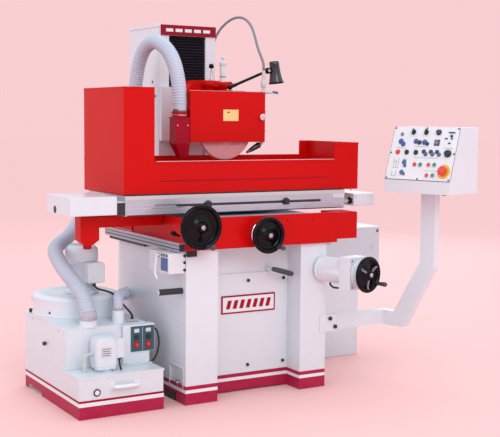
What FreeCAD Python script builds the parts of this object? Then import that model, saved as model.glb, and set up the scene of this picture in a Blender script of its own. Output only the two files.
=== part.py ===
import FreeCAD, Part
import math
import os
import Sketcher
from FreeCAD import Placement, Rotation, Vector

# Surface grinder with a dust and coolant collector, as a parametric document.
# Frame: millimetres, +X along the table travel (operator's right), +Y towards the column, +Z up.
# The origin is on the floor, under the middle of the front block of the machine base.

doc = FreeCAD.newDocument("SurfaceGrinder")
sheet = doc.addObject("Spreadsheet::Sheet", "Sizes")

SIZES = [
    # machine base
    ("base_wide", 800), ("base_deep", 772), ("base_high", 744), ("base_wall", 28),
    ("left_leg_wide", 172), ("right_leg_wide", 154), ("recess_deep", 123),
    ("pedestal_wide", 460), ("pedestal_back", 800), ("arch_high", 45), ("foot_long", 100),
    # column and its top
    ("column_wide", 344), ("column_back", 764), ("column_top", 1850), ("column_wall", 24),
    ("way_wide", 62), ("way_proud", 25), ("cap_thick", 13), ("nameplate_high", 57),
    # saddle
    ("saddle_low", 746), ("saddle_high", 900), ("saddle_wide", 640), ("saddle_back", 200),
    ("apron_left", 411), ("apron_right", 451), ("apron_thick", 22), ("end_box_long", 126),
    ("rail_low", 739), ("rail_high", 44), ("rail_wide", 32), ("rail_back", 485),
    # table
    ("table_low", 909), ("table_top", 1003), ("table_left", 669), ("table_right", 575),
    ("table_front", 291), ("table_back", 151),
    ("left_cover_end", 939), ("right_cover_end", 795), ("cover_deep", 300),
    ("chuck_long", 508), ("chuck_wide", 254), ("chuck_high", 76),
    # splash guard
    ("guard_half", 669), ("guard_front", 276), ("guard_back", 212), ("guard_low", 1008),
    ("guard_rim", 1161), ("guard_rear_rim", 1170), ("left_tower", 157), ("left_tower_top", 1509),
    ("right_tower", 150), ("right_tower_rear", 55), ("right_tower_top", 1247), ("sheet_thick", 4),
    # wheel head
    ("spindle_high", 1311.5), ("wheel_mid", 50), ("wheel_x", -12), ("wheel_across", 305),
    ("wheel_thick", 32), ("wheel_bore", 76), ("spindle_across", 40),
    ("head_left", 88), ("head_right", 145), ("head_low", 1245), ("head_top", 1566), ("head_front", 200),
    ("head_round", 60), ("cartridge_across", 124), ("slide_half", 168), ("slide_thick", 28),
    ("hood_left", 229), ("hood_right", 203), ("hood_low", 1247), ("hood_top", 1503), ("hood_front", 84),
    ("hood_back", 14), ("hood_sheet", 5), ("door_thick", 12),
    # elevating gear
    ("screw_across", 40), ("screw_back", 480), ("lift_x", 378), ("lift_z", 612),
    ("lift_yaw", 15), ("lift_tube", 126), ("lift_reach", 160), ("lift_box", 124), ("lift_box_long", 70),
    # handwheels
    ("big_wheel", 215), ("small_wheel", 180), ("shaft_across", 24),
    ("big_wheel_x", -363), ("big_wheel_z", 862), ("small_wheel_x", 5), ("small_wheel_z", 808),
    ("wheel_plane", 470),
    # pendant
    ("post_x", 840), ("post_y", -653), ("pendant_yaw", -74), ("arm_high", 76), ("arm_low", 293),
    ("arm_thick", 42), ("console_low", 1006), ("console_top", 1334), ("console_long", 390),
    ("console_tail", 175), ("console_back", 100), ("console_foot", 145), ("console_brow", 60),
    ("console_step", 1069), ("console_wall", 3),
    # collector unit
    ("tank_left", 935), ("tank_right", 513), ("tank_front", 379), ("tank_rear", 354), ("tank_high", 194),
    ("chest_front", 205), ("chest_high", 384), ("control_left", 650), ("control_front", 220),
    ("control_back", 175), ("control_end", 487),
    ("drum_x", -740), ("drum_y", 165), ("drum_across", 424), ("drum_high", 116),
    ("blower_x", -697), ("blower_across", 140), ("blower_cap", 165), ("blower_top", 735),
    ("port_x", -801), ("port_y", -160), ("dust_across", 75), ("return_x", -640), ("return_y", -142),
    ("return_across", 50),
    # boxes behind the machine
    ("hydraulic_left", 480), ("hydraulic_right", 1000), ("hydraulic_front", 150),
    ("hydraulic_back", 520), ("hydraulic_high", 470),
    ("cabinet_left", 560), ("cabinet_right", 1210), ("cabinet_front", 230), ("cabinet_back", 480),
    ("cabinet_low", 475), ("cabinet_high", 735),
]


class Dim:
    """A number together with the text of the expression that gives it from the sheet."""

    def __init__(self, value, text):
        self.value = value
        self.text = text

    def __add__(self, other):
        return Dim(self.value + number(other), f"({self.text} + {words(other)})")

    def __radd__(self, other):
        return self + other

    def __sub__(self, other):
        return Dim(self.value - number(other), f"({self.text} - {words(other)})")

    def __rsub__(self, other):
        return Dim(number(other) - self.value, f"({words(other)} - {self.text})")

    def __mul__(self, other):
        return Dim(self.value * number(other), f"({self.text} * {words(other)})")

    def __rmul__(self, other):
        return self * other

    def __truediv__(self, other):
        return Dim(self.value / number(other), f"({self.text} / {words(other)})")

    def __neg__(self):
        return Dim(-self.value, f"(0 - {self.text})")


def number(item):
    return item.value if isinstance(item, Dim) else item


def words(item):
    return item.text if isinstance(item, Dim) else f"({item})"


class Sizes:
    """The sheet's cells, each as a Dim under its alias."""


for row, (alias, amount) in enumerate(SIZES, start=1):
    sheet.set(f"A{row}", alias)
    sheet.set(f"B{row}", str(amount))
    sheet.setAlias(f"B{row}", alias)
    setattr(Sizes, alias, Dim(amount, f"Sizes.{alias}"))
doc.recompute()

X, Y, Z = Vector(1, 0, 0), Vector(0, 1, 0), Vector(0, 0, 1)
UPRIGHT = Rotation()
ALONG_X = Rotation(Y, 90)
TO_FRONT = Rotation(X, 90)
TO_BACK = Rotation(X, -90)


def bind(item, prop, amount):
    """Sets a property from the sheet where the amount is a Dim, and as a number where it isn't."""
    if isinstance(amount, Dim):
        item.setExpression(prop, amount.text)
    elif prop.startswith("Placement"):
        item.setExpression(prop, str(amount))
    else:
        setattr(item, prop, amount)


def put(item, at, turn=UPRIGHT):
    item.Placement = Placement(Vector(*[number(v) for v in at]), turn)
    for axis, amount in zip("xyz", at):
        bind(item, f"Placement.Base.{axis}", amount)
    return item


def box(name, low, high):
    """A box between two corners."""
    item = doc.addObject("Part::Box", name)
    for prop, start, end in zip(("Length", "Width", "Height"), low, high):
        bind(item, prop, end - start)
    return put(item, low)


def rod(name, radius, length, at, turn=UPRIGHT):
    """A round bar that starts at a point."""
    item = doc.addObject("Part::Cylinder", name)
    bind(item, "Radius", radius)
    bind(item, "Height", length)
    return put(item, at, turn)


def cone(name, radius, end_radius, length, at, turn=UPRIGHT):
    item = doc.addObject("Part::Cone", name)
    bind(item, "Radius1", radius)
    bind(item, "Radius2", end_radius)
    bind(item, "Height", length)
    return put(item, at, turn)


def ball(name, radius, at):
    item = doc.addObject("Part::Sphere", name)
    bind(item, "Radius", radius)
    return put(item, at)


def fuse(name, pieces):
    item = doc.addObject("Part::MultiFuse", name)
    item.Shapes = pieces
    item.Refine = True
    return item


def cut(name, piece, tools):
    item = doc.addObject("Part::Cut", name)
    item.Base = piece
    item.Tool = tools[0] if len(tools) == 1 else fuse(f"{name}_tools", tools)
    item.Refine = True
    return item


def group(name, pieces):
    """Several separate solids that share one node."""
    item = doc.addObject("Part::Compound", name)
    item.Links = pieces
    return item


def rounded(name, piece, radius, chosen):
    """The piece with the edges picked by a test on their middle and direction rounded."""
    doc.recompute()
    item = doc.addObject("Part::Fillet", name)
    item.Base = piece
    edges = []
    for index, edge in enumerate(piece.Shape.Edges, start=1):
        start, end = edge.Vertexes[0].Point, edge.Vertexes[-1].Point
        if chosen((start + end) * 0.5, (end - start)):
            edges.append((index, radius, radius))
    if not edges:
        raise RuntimeError(f"{name}: no edge to round")
    item.Edges = edges
    return item


def sketch(body, name, role, points):
    """A closed outline on one of the body's own planes, each corner bound to the sheet."""
    plane = [feature for feature in body.Origin.OriginFeatures if feature.Role == role][0]
    drawn = body.newObject("Sketcher::SketchObject", name)
    drawn.AttachmentSupport = (plane, "")
    drawn.MapMode = "FlatFace"
    flat = [Vector(number(across), number(up), 0) for across, up in points]
    for index, corner in enumerate(flat):
        drawn.addGeometry(Part.LineSegment(corner, flat[(index + 1) % len(flat)]), False)
    for index in range(len(flat)):
        drawn.addConstraint(Sketcher.Constraint("Coincident", index, 2, (index + 1) % len(flat), 1))
    for index, (across, up) in enumerate(points):
        for kind, amount in (("DistanceX", across), ("DistanceY", up)):
            if abs(number(amount)) < 1e-9:
                other = -2 if kind == "DistanceX" else -1
                drawn.addConstraint(Sketcher.Constraint("PointOnObject", index, 1, other))
                continue
            place = drawn.addConstraint(Sketcher.Constraint(kind, -1, 1, index, 1, number(amount)))
            if isinstance(amount, Dim):
                drawn.setExpression(f"Constraints[{place}]", amount.text)
    return drawn


def padded(name, role, points, length, at=(0, 0, 0), turn=UPRIGHT, reverse=False):
    """A PartDesign body made by one pad of an outline."""
    body = doc.addObject("PartDesign::Body", name)
    drawn = sketch(body, f"{name}_outline", role, points)
    feature = body.newObject("PartDesign::Pad", f"{name}_pad")
    feature.Profile = drawn
    bind(feature, "Length", length)
    feature.Reversed = reverse
    return put(body, at, turn)


def turned(name, points, at=(0, 0, 0), turn=UPRIGHT):
    """A PartDesign body made by turning (radius, height) corners about its own upright axis."""
    body = doc.addObject("PartDesign::Body", name)
    drawn = sketch(body, f"{name}_outline", "XZ_Plane", points)
    feature = body.newObject("PartDesign::Revolution", f"{name}_turn")
    feature.Profile = drawn
    feature.ReferenceAxis = (drawn, ["V_Axis"])
    feature.Angle = 360
    return put(body, at, turn)


def pocketed(body, name, role, points, depth, reverse=False):
    """Cuts an outline out of a PartDesign body."""
    drawn = sketch(body, f"{name}_outline", role, points)
    doc.recompute()
    before = body.Shape.Volume
    feature = body.newObject("PartDesign::Pocket", name)
    feature.Profile = drawn
    bind(feature, "Length", depth)
    feature.Reversed = reverse
    doc.recompute()
    if body.Shape.Volume > before - 1:
        raise RuntimeError(f"{name} cuts nothing")
    return feature


def tube_along(name, points, diameter):
    """A round tube along straight runs joined by tangent arcs, with its radii printed."""
    spots = [Vector(*point) for point in points]
    edges = []
    radii = []
    start = spots[0]
    for before, corner, after in zip(spots, spots[1:], spots[2:]):
        inward = (before - corner).normalize()
        outward = (after - corner).normalize()
        half_turn = (math.pi - inward.getAngle(outward)) / 2
        reach = 0.45 * min(before.distanceToPoint(corner), corner.distanceToPoint(after))
        radius = reach / math.tan(half_turn)
        radii.append(round(radius))
        first = corner + inward * reach
        last = corner + outward * reach
        middle_way = (inward + outward).normalize()
        centre = corner + middle_way * math.hypot(radius, reach)
        middle = centre - middle_way * radius
        edges.append(Part.LineSegment(start, first).toShape())
        edges.append(Part.Arc(first, middle, last).toShape())
        start = last
    edges.append(Part.LineSegment(start, spots[-1]).toShape())
    path = Part.Wire(edges)
    section = Part.Wire([Part.makeCircle(diameter / 2, spots[0], spots[1] - spots[0])])
    solid = path.makePipeShell([section], True, False)
    expected = math.pi * diameter ** 2 / 4 * path.Length
    ratio = solid.Volume / expected
    print(f"{name}: length {path.Length:.0f}, radii {radii}, volume ratio {ratio:.3f}")
    if abs(ratio - 1) > 0.03:
        raise RuntimeError(f"{name}: the tube's volume is wrong")
    item = doc.addObject("Part::Feature", name)
    item.Shape = solid
    return item


NODES = []


def node(item, label):
    """Names a finished sub-part."""
    item.Label = label
    NODES.append(item)
    return item


S = Sizes
HALF = S.base_wide / 2
FRONT = -S.base_deep / 2
REAR = S.base_deep / 2


# Machine base: a front block with a recess between two legs, and a pedestal for the column.
def make_base():
    left_leg = S.left_leg_wide - HALF
    right_leg = HALF - S.right_leg_wide
    recess = FRONT + S.recess_deep
    pedestal = S.pedestal_wide / 2
    wall = S.base_wall
    outline = [
        (-HALF, FRONT), (left_leg, FRONT), (left_leg, recess), (right_leg, recess), (right_leg, FRONT),
        (HALF, FRONT), (HALF, REAR), (pedestal, REAR), (pedestal, S.pedestal_back),
        (-pedestal, S.pedestal_back), (-pedestal, REAR), (-HALF, REAR)]
    inside = [
        (wall - HALF, FRONT + wall), (left_leg - wall, FRONT + wall), (left_leg - wall, recess + wall),
        (right_leg + wall, recess + wall), (right_leg + wall, FRONT + wall), (HALF - wall, FRONT + wall),
        (HALF - wall, REAR - wall), (pedestal - wall, REAR - wall),
        (pedestal - wall, S.pedestal_back - wall), (wall - pedestal, S.pedestal_back - wall),
        (wall - pedestal, REAR - wall), (wall - HALF, REAR - wall)]
    body = padded("base_block", "XY_Plane", outline, S.base_high)
    pocketed(body, "base_hollow", "XY_Plane", inside, S.base_high - 60, reverse=True)
    foot = S.foot_long
    arches = [
        box("left_arch", (-HALF - 5, FRONT + foot, -1), (wall - HALF + 1, REAR - foot, S.arch_high)),
        box("right_arch", (HALF - wall - 1, FRONT + foot, -1), (HALF + 5, REAR - foot, S.arch_high))]
    low_pocket = box("side_pocket", (-HALF - 1, FRONT + 35, 77), (10 - HALF, FRONT + 168, 175))
    lift_hole = rod("lifting_hole", 13.1, S.base_wall + 10, (-HALF - 5, FRONT + 41, 550), ALONG_X)
    feed_hole = rod("lift_shaft_hole", 20, 60, (S.lift_x - 30, FRONT - 5, S.lift_z), TO_BACK)
    tie = box("bottom_tie", (-45, recess + wall - 1, 0), (45, S.pedestal_back - wall + 1, 16))
    drain = Rotation(Z, Vector(-0.669, -0.743, 0))
    stub = rod("return_stub", S.return_across / 2 + 3, 45, (-390, 306, 448), drain)
    stub_bore = rod("return_stub_bore", S.return_across / 2 - 4, 110, (-350, 350, 448), drain)
    node(cut("base_casting_cut", fuse("base_with_stub", [body, tie, stub]),
             arches + [low_pocket, lift_hole, feed_hole, stub_bore]), "base_casting")


def make_base_fittings():
    recess = FRONT + S.recess_deep
    plate = box("cover_plate", (-10 - 195, recess - 5, 95), (HALF - S.right_leg_wide - 12, recess - 0.5, 600))
    node(plate, "recess_cover")
    screws = []
    for index, (across, up) in enumerate([(9, 561), (217, 561), (9, 133), (217, 133)]):
        screws.append(rod(f"cover_screw_{index}", 8, 7, (across, recess - 5, up), TO_FRONT))
    for index, (across, up) in enumerate([(424, 352), (456, 308)]):
        screws.append(rod(f"arm_screw_{index}", 10, 9, (across, FRONT - 6, up), TO_FRONT))
    node(group("screw_group", screws), "machine_screws")
    pads = []
    for side in (-1, 1):
        for index, along in enumerate([-215, 215]):
            across = side * (HALF - 34)
            pads.append(box(f"pad_{side + 1}_{index}", (across - 34, along - 60, 0),
                            (across + 34, along + 60, S.arch_high - 1)))
    node(group("pad_group", pads), "levelling_pads")
    bar = rod("lift_bar", 14.9, 124, (-HALF - 124.5, FRONT + 41, 550), ALONG_X)
    root = rod("lift_bar_root", 13, S.base_wall + 1, (-HALF - 1, FRONT + 41, 550), ALONG_X)
    node(fuse("lift_bar_set", [bar, root]), "lifting_bar")
    valve = box("valve_shell", (-HALF - 90, FRONT, 640), (-HALF - 0.5, FRONT + 222, 736))
    node(rounded("valve_round", valve, 8, lambda mid, way: abs(way.x) < 1 and abs(way.y) < 1), "valve_box")


# Column: a hollow upright with two ways on its front, and a cap with a blank nameplate.
def make_column():
    half = S.column_wide / 2
    wall = S.column_wall
    front = REAR + S.way_proud
    shell = box("column_shell", (-half, front, S.base_high), (half, S.column_back, S.column_top))
    ways = [
        box("left_way", (-half, REAR, S.base_high + 60), (S.way_wide - half, front + 1, S.column_top)),
        box("right_way", (half - S.way_wide, REAR, S.base_high + 60), (half, front + 1, S.column_top))]
    hollow = box("column_hollow", (wall - half, front + wall, S.base_high - 1),
                 (half - wall, S.column_back - wall, S.column_top - wall))
    slot = box("nut_slot", (-62, front - 2, 1080), (62, front + wall + 2, 1760))
    bracket = box("hose_bracket", (half - 1, 452, 1604), (half + 34, 488, 1639.5))
    joined = fuse("column_body", [shell, bracket] + ways)
    node(cut("column_casting_cut", joined, [hollow, slot]), "column_casting")
    plate = box("cap_plate", (-half - 4, REAR - 8, S.column_top), (half + 4, S.column_back + 4,
                                                                 S.column_top + S.cap_thick))
    sign = box("cap_sign", (-half + 6, REAR - 8, S.column_top + S.cap_thick - S.nameplate_high),
               (half - 2, REAR - 0.5, S.column_top + 1))
    node(fuse("cap", [plate, sign]), "column_top_cover")
    folds = box("bellows_block", (way_gap(-1), REAR + 2, S.head_top - 76), (way_gap(1), front - 1,
                                                                     S.column_top - 45))
    node(folds, "column_bellows")
    screw = rod("screw_bar", S.screw_across / 2, 900, (0, S.screw_back, S.base_high + 160))
    bearing = rod("screw_bearing", 45, 40, (0, S.screw_back, S.base_high + 130))
    bracket = box("screw_shelf", (-60, REAR + 49.5, S.base_high + 110), (60, S.screw_back + 60,
                                                                       S.base_high + 131))
    node(fuse("screw_set", [screw, bearing, bracket]), "elevating_screw")


def way_gap(side):
    return side * (S.column_wide / 2 - S.way_wide - 2)


# Elevating gear: a round housing on the base with a square gearbox, yawed towards the right.
def make_lift_gear():
    turn = Rotation(Z, 15)
    tube = rod("lift_tube_rod", S.lift_tube / 2, S.lift_reach, (0, 0, 0), TO_FRONT)
    collar = rod("lift_collar", S.lift_tube / 2 + 4, 10, (0, 0, 0), TO_FRONT)
    half = S.lift_box / 2
    gear = box("lift_gear_box", (-half, -S.lift_reach - S.lift_box_long, -half - 18),
               (half, -S.lift_reach, half + 18))
    neck = rod("lift_neck", 50, 22, (0, -S.lift_reach - S.lift_box_long, 0), TO_FRONT)
    bore = rod("lift_bore", S.shaft_across / 2 + 0.05, 300, (0, 10, 0), TO_FRONT)
    body = cut("lift_housing_cut", fuse("lift_housing", [tube, collar, gear, neck]), [bore])
    put(body, (S.lift_x, FRONT, S.lift_z), turn)
    root = box("lift_trim_base", (-200, FRONT, 0), (600, 0, 900))
    node(cut("lift_clear", body, [root]), "elevating_housing")


def handwheel(name, across, shaft, plate, at, turn):
    """A dished handwheel with a round rim, a hub, spokes as a web, and its shaft behind."""
    outer = across / 2
    profile = [
        (0, 14), (16, 14), (20, 8), (24, 6), (outer - 24, -8), (outer - 20, 2), (outer - 15, 7),
        (outer - 8, 8), (outer - 2, 4), (outer, -3), (outer - 2, -11), (outer - 9, -15),
        (outer - 22, -14), (30, -2), (27, -26), (plate, -26), (plate, -30), (12, -30), (12, -shaft), (0, -shaft)]
    return turned(name, profile, at, turn)


def grip(name, length, radius, at, turn):
    """A revolving crank grip with a waist."""
    profile = [
        (0, 0), (radius * 0.7, 0), (radius * 0.85, 4), (radius * 0.75, length * 0.3),
        (radius, length * 0.75), (radius * 0.8, length * 0.95), (radius * 0.4, length), (0, length)]
    return turned(name, profile, at, turn)


def make_handwheels():
    plane = -S.wheel_plane
    node(handwheel("table_wheel", S.big_wheel, 84, 30, (S.big_wheel_x, plane, S.big_wheel_z), TO_FRONT),
         "table_handwheel")
    node(grip("table_wheel_grip", 62, 13, (S.big_wheel_x + 28, plane - 9, S.big_wheel_z - 90), TO_FRONT),
         "table_crank_grip")
    node(handwheel("cross_wheel", S.small_wheel, 84, 62, (S.small_wheel_x, plane, S.small_wheel_z), TO_FRONT),
         "cross_handwheel")
    node(grip("cross_wheel_grip", 62, 12, (S.small_wheel_x + 45, plane - 9, S.small_wheel_z - 58), TO_FRONT),
         "cross_crank_grip")
    turn = Rotation(Z, 15).multiply(TO_FRONT)
    reach = 296
    spot = (S.lift_x + reach * math.sin(math.radians(15)), FRONT - reach * math.cos(math.radians(15)),
            S.lift_z)
    node(handwheel("lift_wheel", S.small_wheel, 280, 62, spot, turn), "elevating_handwheel")
    out = turn.multVec(Vector(52, -46, 9))
    grip_spot = (spot[0] + out.x, spot[1] + out.y, spot[2] + out.z)
    node(grip("lift_wheel_grip", 62, 12, grip_spot, turn), "elevating_crank_grip")


# Saddle: the casting that slides across the base, with its apron, side rail and coolant trough.
def make_saddle():
    half = S.saddle_wide / 2
    block = box("saddle_block", (-half, FRONT + 2, S.saddle_low), (half, S.saddle_back, S.saddle_high - 6))
    ways = [box(f"saddle_way_{side}", (-half, 90 * side - 30, S.saddle_high - 8),
                (half, 90 * side + 30, S.table_low - 1)) for side in (-1, 1)]
    hollow = box("saddle_hollow", (-half + 40, -200, S.saddle_low - 1), (half - 40, 150, S.saddle_high - 50))
    node(cut("saddle_cut", fuse("saddle_body", [block] + ways), [hollow]), "saddle_casting")
    front = FRONT - 20
    panel = box("apron_panel", (-S.apron_left, front, S.saddle_low), (S.apron_right, front + S.apron_thick,
                                                                   S.saddle_high - 2))
    left_side = box("apron_left_side", (-S.apron_left, front + 2, S.saddle_low + 37),
                    (6 - S.apron_left, S.saddle_back, S.saddle_high - 2))
    right_box = box("apron_end_box", (S.apron_right - 1, front + 4, S.saddle_low + 15),
                    (S.apron_right + S.end_box_long, front + 150, S.saddle_high - 4))
    bores = [
        rod("table_shaft_bore", S.shaft_across / 2 + 0.05, 60, (S.big_wheel_x, front - 5, S.big_wheel_z), TO_BACK),
        rod("cross_shaft_bore", S.shaft_across / 2 + 0.05, 60, (S.small_wheel_x, front - 5, S.small_wheel_z),
            TO_BACK)]
    node(cut("apron_cut", fuse("apron_body", [panel, left_side, right_box]), bores), "saddle_apron")
    rail = box("rail_bar", (-S.apron_left - S.rail_wide, FRONT - 14, S.rail_low),
               (-S.apron_left - 0.5, S.rail_back, S.rail_low + S.rail_high))
    strip = box("rail_strip", (-S.apron_left - 14, -20, S.rail_low - 12), (-S.apron_left - 4, 420,
                                                                        S.rail_low + 1))
    node(fuse("rail_set", [rail, strip]), "cross_rail")


def make_trough():
    """An open channel on the saddle's left side that ends in a deeper box over a square funnel."""
    top = S.saddle_high + 2
    low = S.saddle_low + 44
    base = Vector(-797, -140, 0)
    pan = box("trough_pan", (-840, -175, 850), (-S.apron_left - 8, -105, top))
    drop = box("trough_drop", (-844, -175, low), (-750, -105, top))
    space = box("trough_space", (-836, -171, 854), (-S.apron_left - 20, -109, top + 20))
    well = box("trough_well", (-840, -171, low + 4), (-754, -109, top + 20))
    outlet = box("trough_outlet", (-832, -164, low - 5), (-762, -116, low + 6))
    chute = box("funnel_outer", (-842, -172, low - 2), (-752, -108, low + 1))
    doc.recompute()
    rings = []
    inner = []
    for made, wall in ((rings, 0), (inner, 4)):
        for up, across, deep in ((low.value, 45, 32), (low.value - 24, 20, 18)):
            x, y = across - wall, deep - wall
            corners = [base + Vector(sx * x, sy * y, up) for sx, sy in ((-1, -1), (1, -1), (1, 1), (-1, 1))]
            made.append(Part.makePolygon(corners + corners[:1]))
    funnel = doc.addObject("Part::Feature", "funnel")
    funnel.Shape = Part.makeLoft(rings, True).cut(Part.makeLoft(inner, True))
    shell = cut("trough_cut", fuse("trough_shell", [pan, drop, chute]), [space, well, outlet])
    node(fuse("trough_all", [shell, funnel]), "coolant_trough")


# Table: the long casting with covered ends, magnetic chuck, reversing dogs and splash guard.
def make_table():
    body = box("table_block", (-S.table_left, -S.table_front, S.table_low), (S.table_right, S.table_back,
                                                                           S.table_top))
    slot = box("table_slot", (-S.table_left + 150, -S.table_front - 1, 946), (S.table_right - 150,
                                                                            10 - S.table_front, 958))
    relief = box("table_relief", (-S.table_left - 1, -S.table_front + 60, S.table_low - 1),
                 (S.table_right + 1, S.table_back - 60, S.table_low + 26))
    node(cut("table_cut", body, [slot, relief]), "table_casting")
    left = box("left_cover_shell", (-S.left_cover_end, -S.table_front, S.table_low + 9),
               (-S.table_left - 40, S.cover_deep - S.table_front, S.table_top))
    left_space = box("left_cover_space", (4 - S.left_cover_end, 4 - S.table_front, S.table_low + 8),
                     (-S.table_left - 44, S.cover_deep - S.table_front - 4, S.table_top - 4))
    link = box("cover_link", (-S.table_left - 40.5, -S.table_front + 4, S.table_low + 12),
               (-S.table_left - 0.5, S.cover_deep - S.table_front - 10, S.table_top - 26))
    right = box("right_cover_shell", (S.table_right + 80, -S.table_front + 30, S.table_low + 4),
                (S.right_cover_end, S.table_back - 30, S.table_low + 68))
    rod_end = box("cover_rod", (S.table_right + 0.5, -60, S.table_low + 14), (S.table_right + 81, 0,
                                                                           S.table_low + 50))
    node(group("cover_group", [fuse("left_cover", [cut("left_cover_cut", left, [left_space]), link]),
                               fuse("right_cover", [right, rod_end])]), "table_end_covers")
    chuck = box("chuck_block", (-S.chuck_long / 2, -S.chuck_wide / 2 - 50, S.table_top + 0.02),
                (S.chuck_long / 2, S.chuck_wide / 2 - 50, S.table_top + 6 + S.chuck_high))
    node(chuck, "magnetic_chuck")
    dogs = []
    for index, along in enumerate([-234, 212]):
        dogs.append(box(f"dog_{index}", (along - 16, -S.table_front - 16, 938), (along + 16, -S.table_front - 0.5,
                                                                               972)))
    node(group("dog_group", dogs), "table_dogs")
    spindle = rod("knob_rod", 7, 44, (S.table_right + 0.5, -S.table_front + 16, 943), ALONG_X)
    node(fuse("star_body", [spindle, rod("knob_hub", 12, 12, (S.table_right + 40, -S.table_front + 16, 943),
                                         ALONG_X)]
              + [ball(f"knob_lobe_{i}", 8, (S.table_right + 46,
                                            -S.table_front + 16 + 13 * math.cos(math.radians(72 * i)),
                                            943 + 13 * math.sin(math.radians(72 * i)))) for i in range(5)]),
         "star_knob")


def make_splash_guard():
    """A tray of bent sheet with a tall left tower, a lower right tower and low front and rear walls."""
    half, thick = S.guard_half, S.sheet_thick
    floor = box("tray_floor", (-half, -S.guard_front, S.guard_low - 4), (half, S.guard_back, S.guard_low))
    sheets = [
        floor,
        box("left_wall", (-half, -S.guard_front, S.guard_low - 1), (thick - half, S.guard_back, S.left_tower_top)),
        box("left_front", (-half, -S.guard_front, S.guard_low - 1),
            (S.left_tower - half, thick - S.guard_front, S.left_tower_top)),
        box("left_rear", (-half, S.guard_back - thick, S.guard_low - 1),
            (S.left_tower - half, S.guard_back, S.left_tower_top)),
        box("front_wall", (-half, -S.guard_front, S.guard_low - 1), (half, thick - S.guard_front, S.guard_rim)),
        box("rear_wall", (-half, S.guard_back - thick, S.guard_low - 1), (half, S.guard_back, S.guard_rear_rim)),
        box("right_wall", (half - thick, -S.guard_front, S.guard_low - 1), (half, S.guard_back, S.right_tower_top)),
        box("right_front", (half - S.right_tower, -S.guard_front, S.guard_low - 1),
            (half, thick - S.guard_front, S.right_tower_top)),
        box("right_rear", (half - S.right_tower_rear, S.guard_back - thick, S.guard_low - 1),
            (half, S.guard_back, S.right_tower_top))]
    opening = box("chuck_opening", (-S.chuck_long / 2 - 4, -S.chuck_wide / 2 - 54, S.guard_low - 9),
                  (S.chuck_long / 2 + 4, S.chuck_wide / 2 - 46, S.guard_low + 1))
    node(cut("splash_cut", fuse("splash_sheets", sheets), [opening]), "splash_guard")


# Wheel head: housing and cartridge, wheel hood with its door, dust nozzle and coolant pipe.
def make_head():
    block = box("head_block", (-S.head_left, S.head_front, S.head_low), (S.head_right, REAR - 2, S.head_top))
    domed = rounded("head_domed", block, 60, lambda mid, way: mid.z > 1560 and abs(way.y) > 100)
    centre = (S.wheel_x, S.head_front + 1, S.spindle_high)
    cartridge = rod("head_cartridge", S.cartridge_across / 2, S.head_front - S.hood_back, centre, TO_FRONT)
    bore = rod("head_bore", S.spindle_across / 2 + 0.05, 180, (S.wheel_x, S.head_front + 160, S.spindle_high),
               TO_FRONT)
    front_bore = rod("head_front_bore", S.spindle_across / 2 + 0.05, 200,
                     (S.wheel_x, S.head_front, S.spindle_high), TO_FRONT)
    nut_arm = box("nut_arm", (-40, REAR - 3, 1330), (40, S.screw_back + 45, 1400))
    nut_bore = rod("nut_bore", S.screw_across / 2 + 0.05, 90, (0, S.screw_back, 1320))
    slide = box("head_slide", (-S.slide_half, REAR - S.slide_thick, S.head_low),
                (S.slide_half, REAR - 2, S.head_top - 36))
    node(cut("head_cut", fuse("head_body", [domed, cartridge, nut_arm, slide]), [bore, front_bore, nut_bore]),
         "head_housing")
    left, right = -S.hood_left, S.hood_right
    thick = S.hood_sheet
    shell = box("hood_shell", (left, -S.hood_front, S.hood_low), (right, S.hood_back, S.hood_top))
    space = box("hood_space", (left + thick, -S.hood_front - 1, S.hood_low - 1),
                (right - thick, S.hood_back - thick, S.hood_top - thick))
    seat = rod("lamp_seat", 16, 10, (43, -8, S.hood_top - 1))
    hole = rod("hood_hole", S.spindle_across / 2 + 6, 30, (S.wheel_x, S.hood_back + 10, S.spindle_high), TO_FRONT)
    node(cut("hood_cut", fuse("hood_seat", [shell, seat]), [space, hole]), "wheel_hood")
    door = box("door_plate", (left, -S.hood_front - S.door_thick, S.hood_low),
               (right, -S.hood_front - 0.5, S.hood_top - 1))
    knob = rod("door_knob", 17, 16, (right - 22, -S.hood_front - S.door_thick, 1375), TO_FRONT)
    node(fuse("door_set", [door, knob]), "hood_door")


def make_nozzle():
    """A sheet duct on the hood's left side that narrows towards the wheel."""
    left, right = -310, -232
    front, back = -94, -24
    rings = []
    inner = []
    for up, low_x, low_y, deep in ((1367, left, front, back), (1240, left, front, back), (1174, -278, -80, -36)):
        corners = [Vector(x, y, up) for x, y in ((low_x, low_y), (right, low_y), (right, deep), (low_x, deep))]
        rings.append(Part.makePolygon(corners + corners[:1]))
        wall = 3
        corners = [Vector(low_x + wall, low_y + wall, up), Vector(right - wall, low_y + wall, up),
                   Vector(right - wall, deep - wall, up), Vector(low_x + wall, deep - wall, up)]
        inner.append(Part.makePolygon(corners + corners[:1]))
    duct = Part.makeLoft(rings, True, True).cut(Part.makeLoft(inner, True, True))
    lid = Part.makeBox(right - left + 4, back - front + 6, 4, Vector(left - 4, front - 3, 1367))
    bore = Part.makeCylinder(36, 40, Vector(-272, -60, 1366))
    collar = Part.makeCylinder(40.5, 27, Vector(-272, -60, 1371)).cut(bore)
    lid = lid.cut(Part.makeCylinder(36, 40, Vector(-272, -60, 1360)))
    item = doc.addObject("Part::Feature", "nozzle_duct")
    item.Shape = duct.fuse([lid, collar]).removeSplitter()
    node(item, "dust_nozzle")


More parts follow.
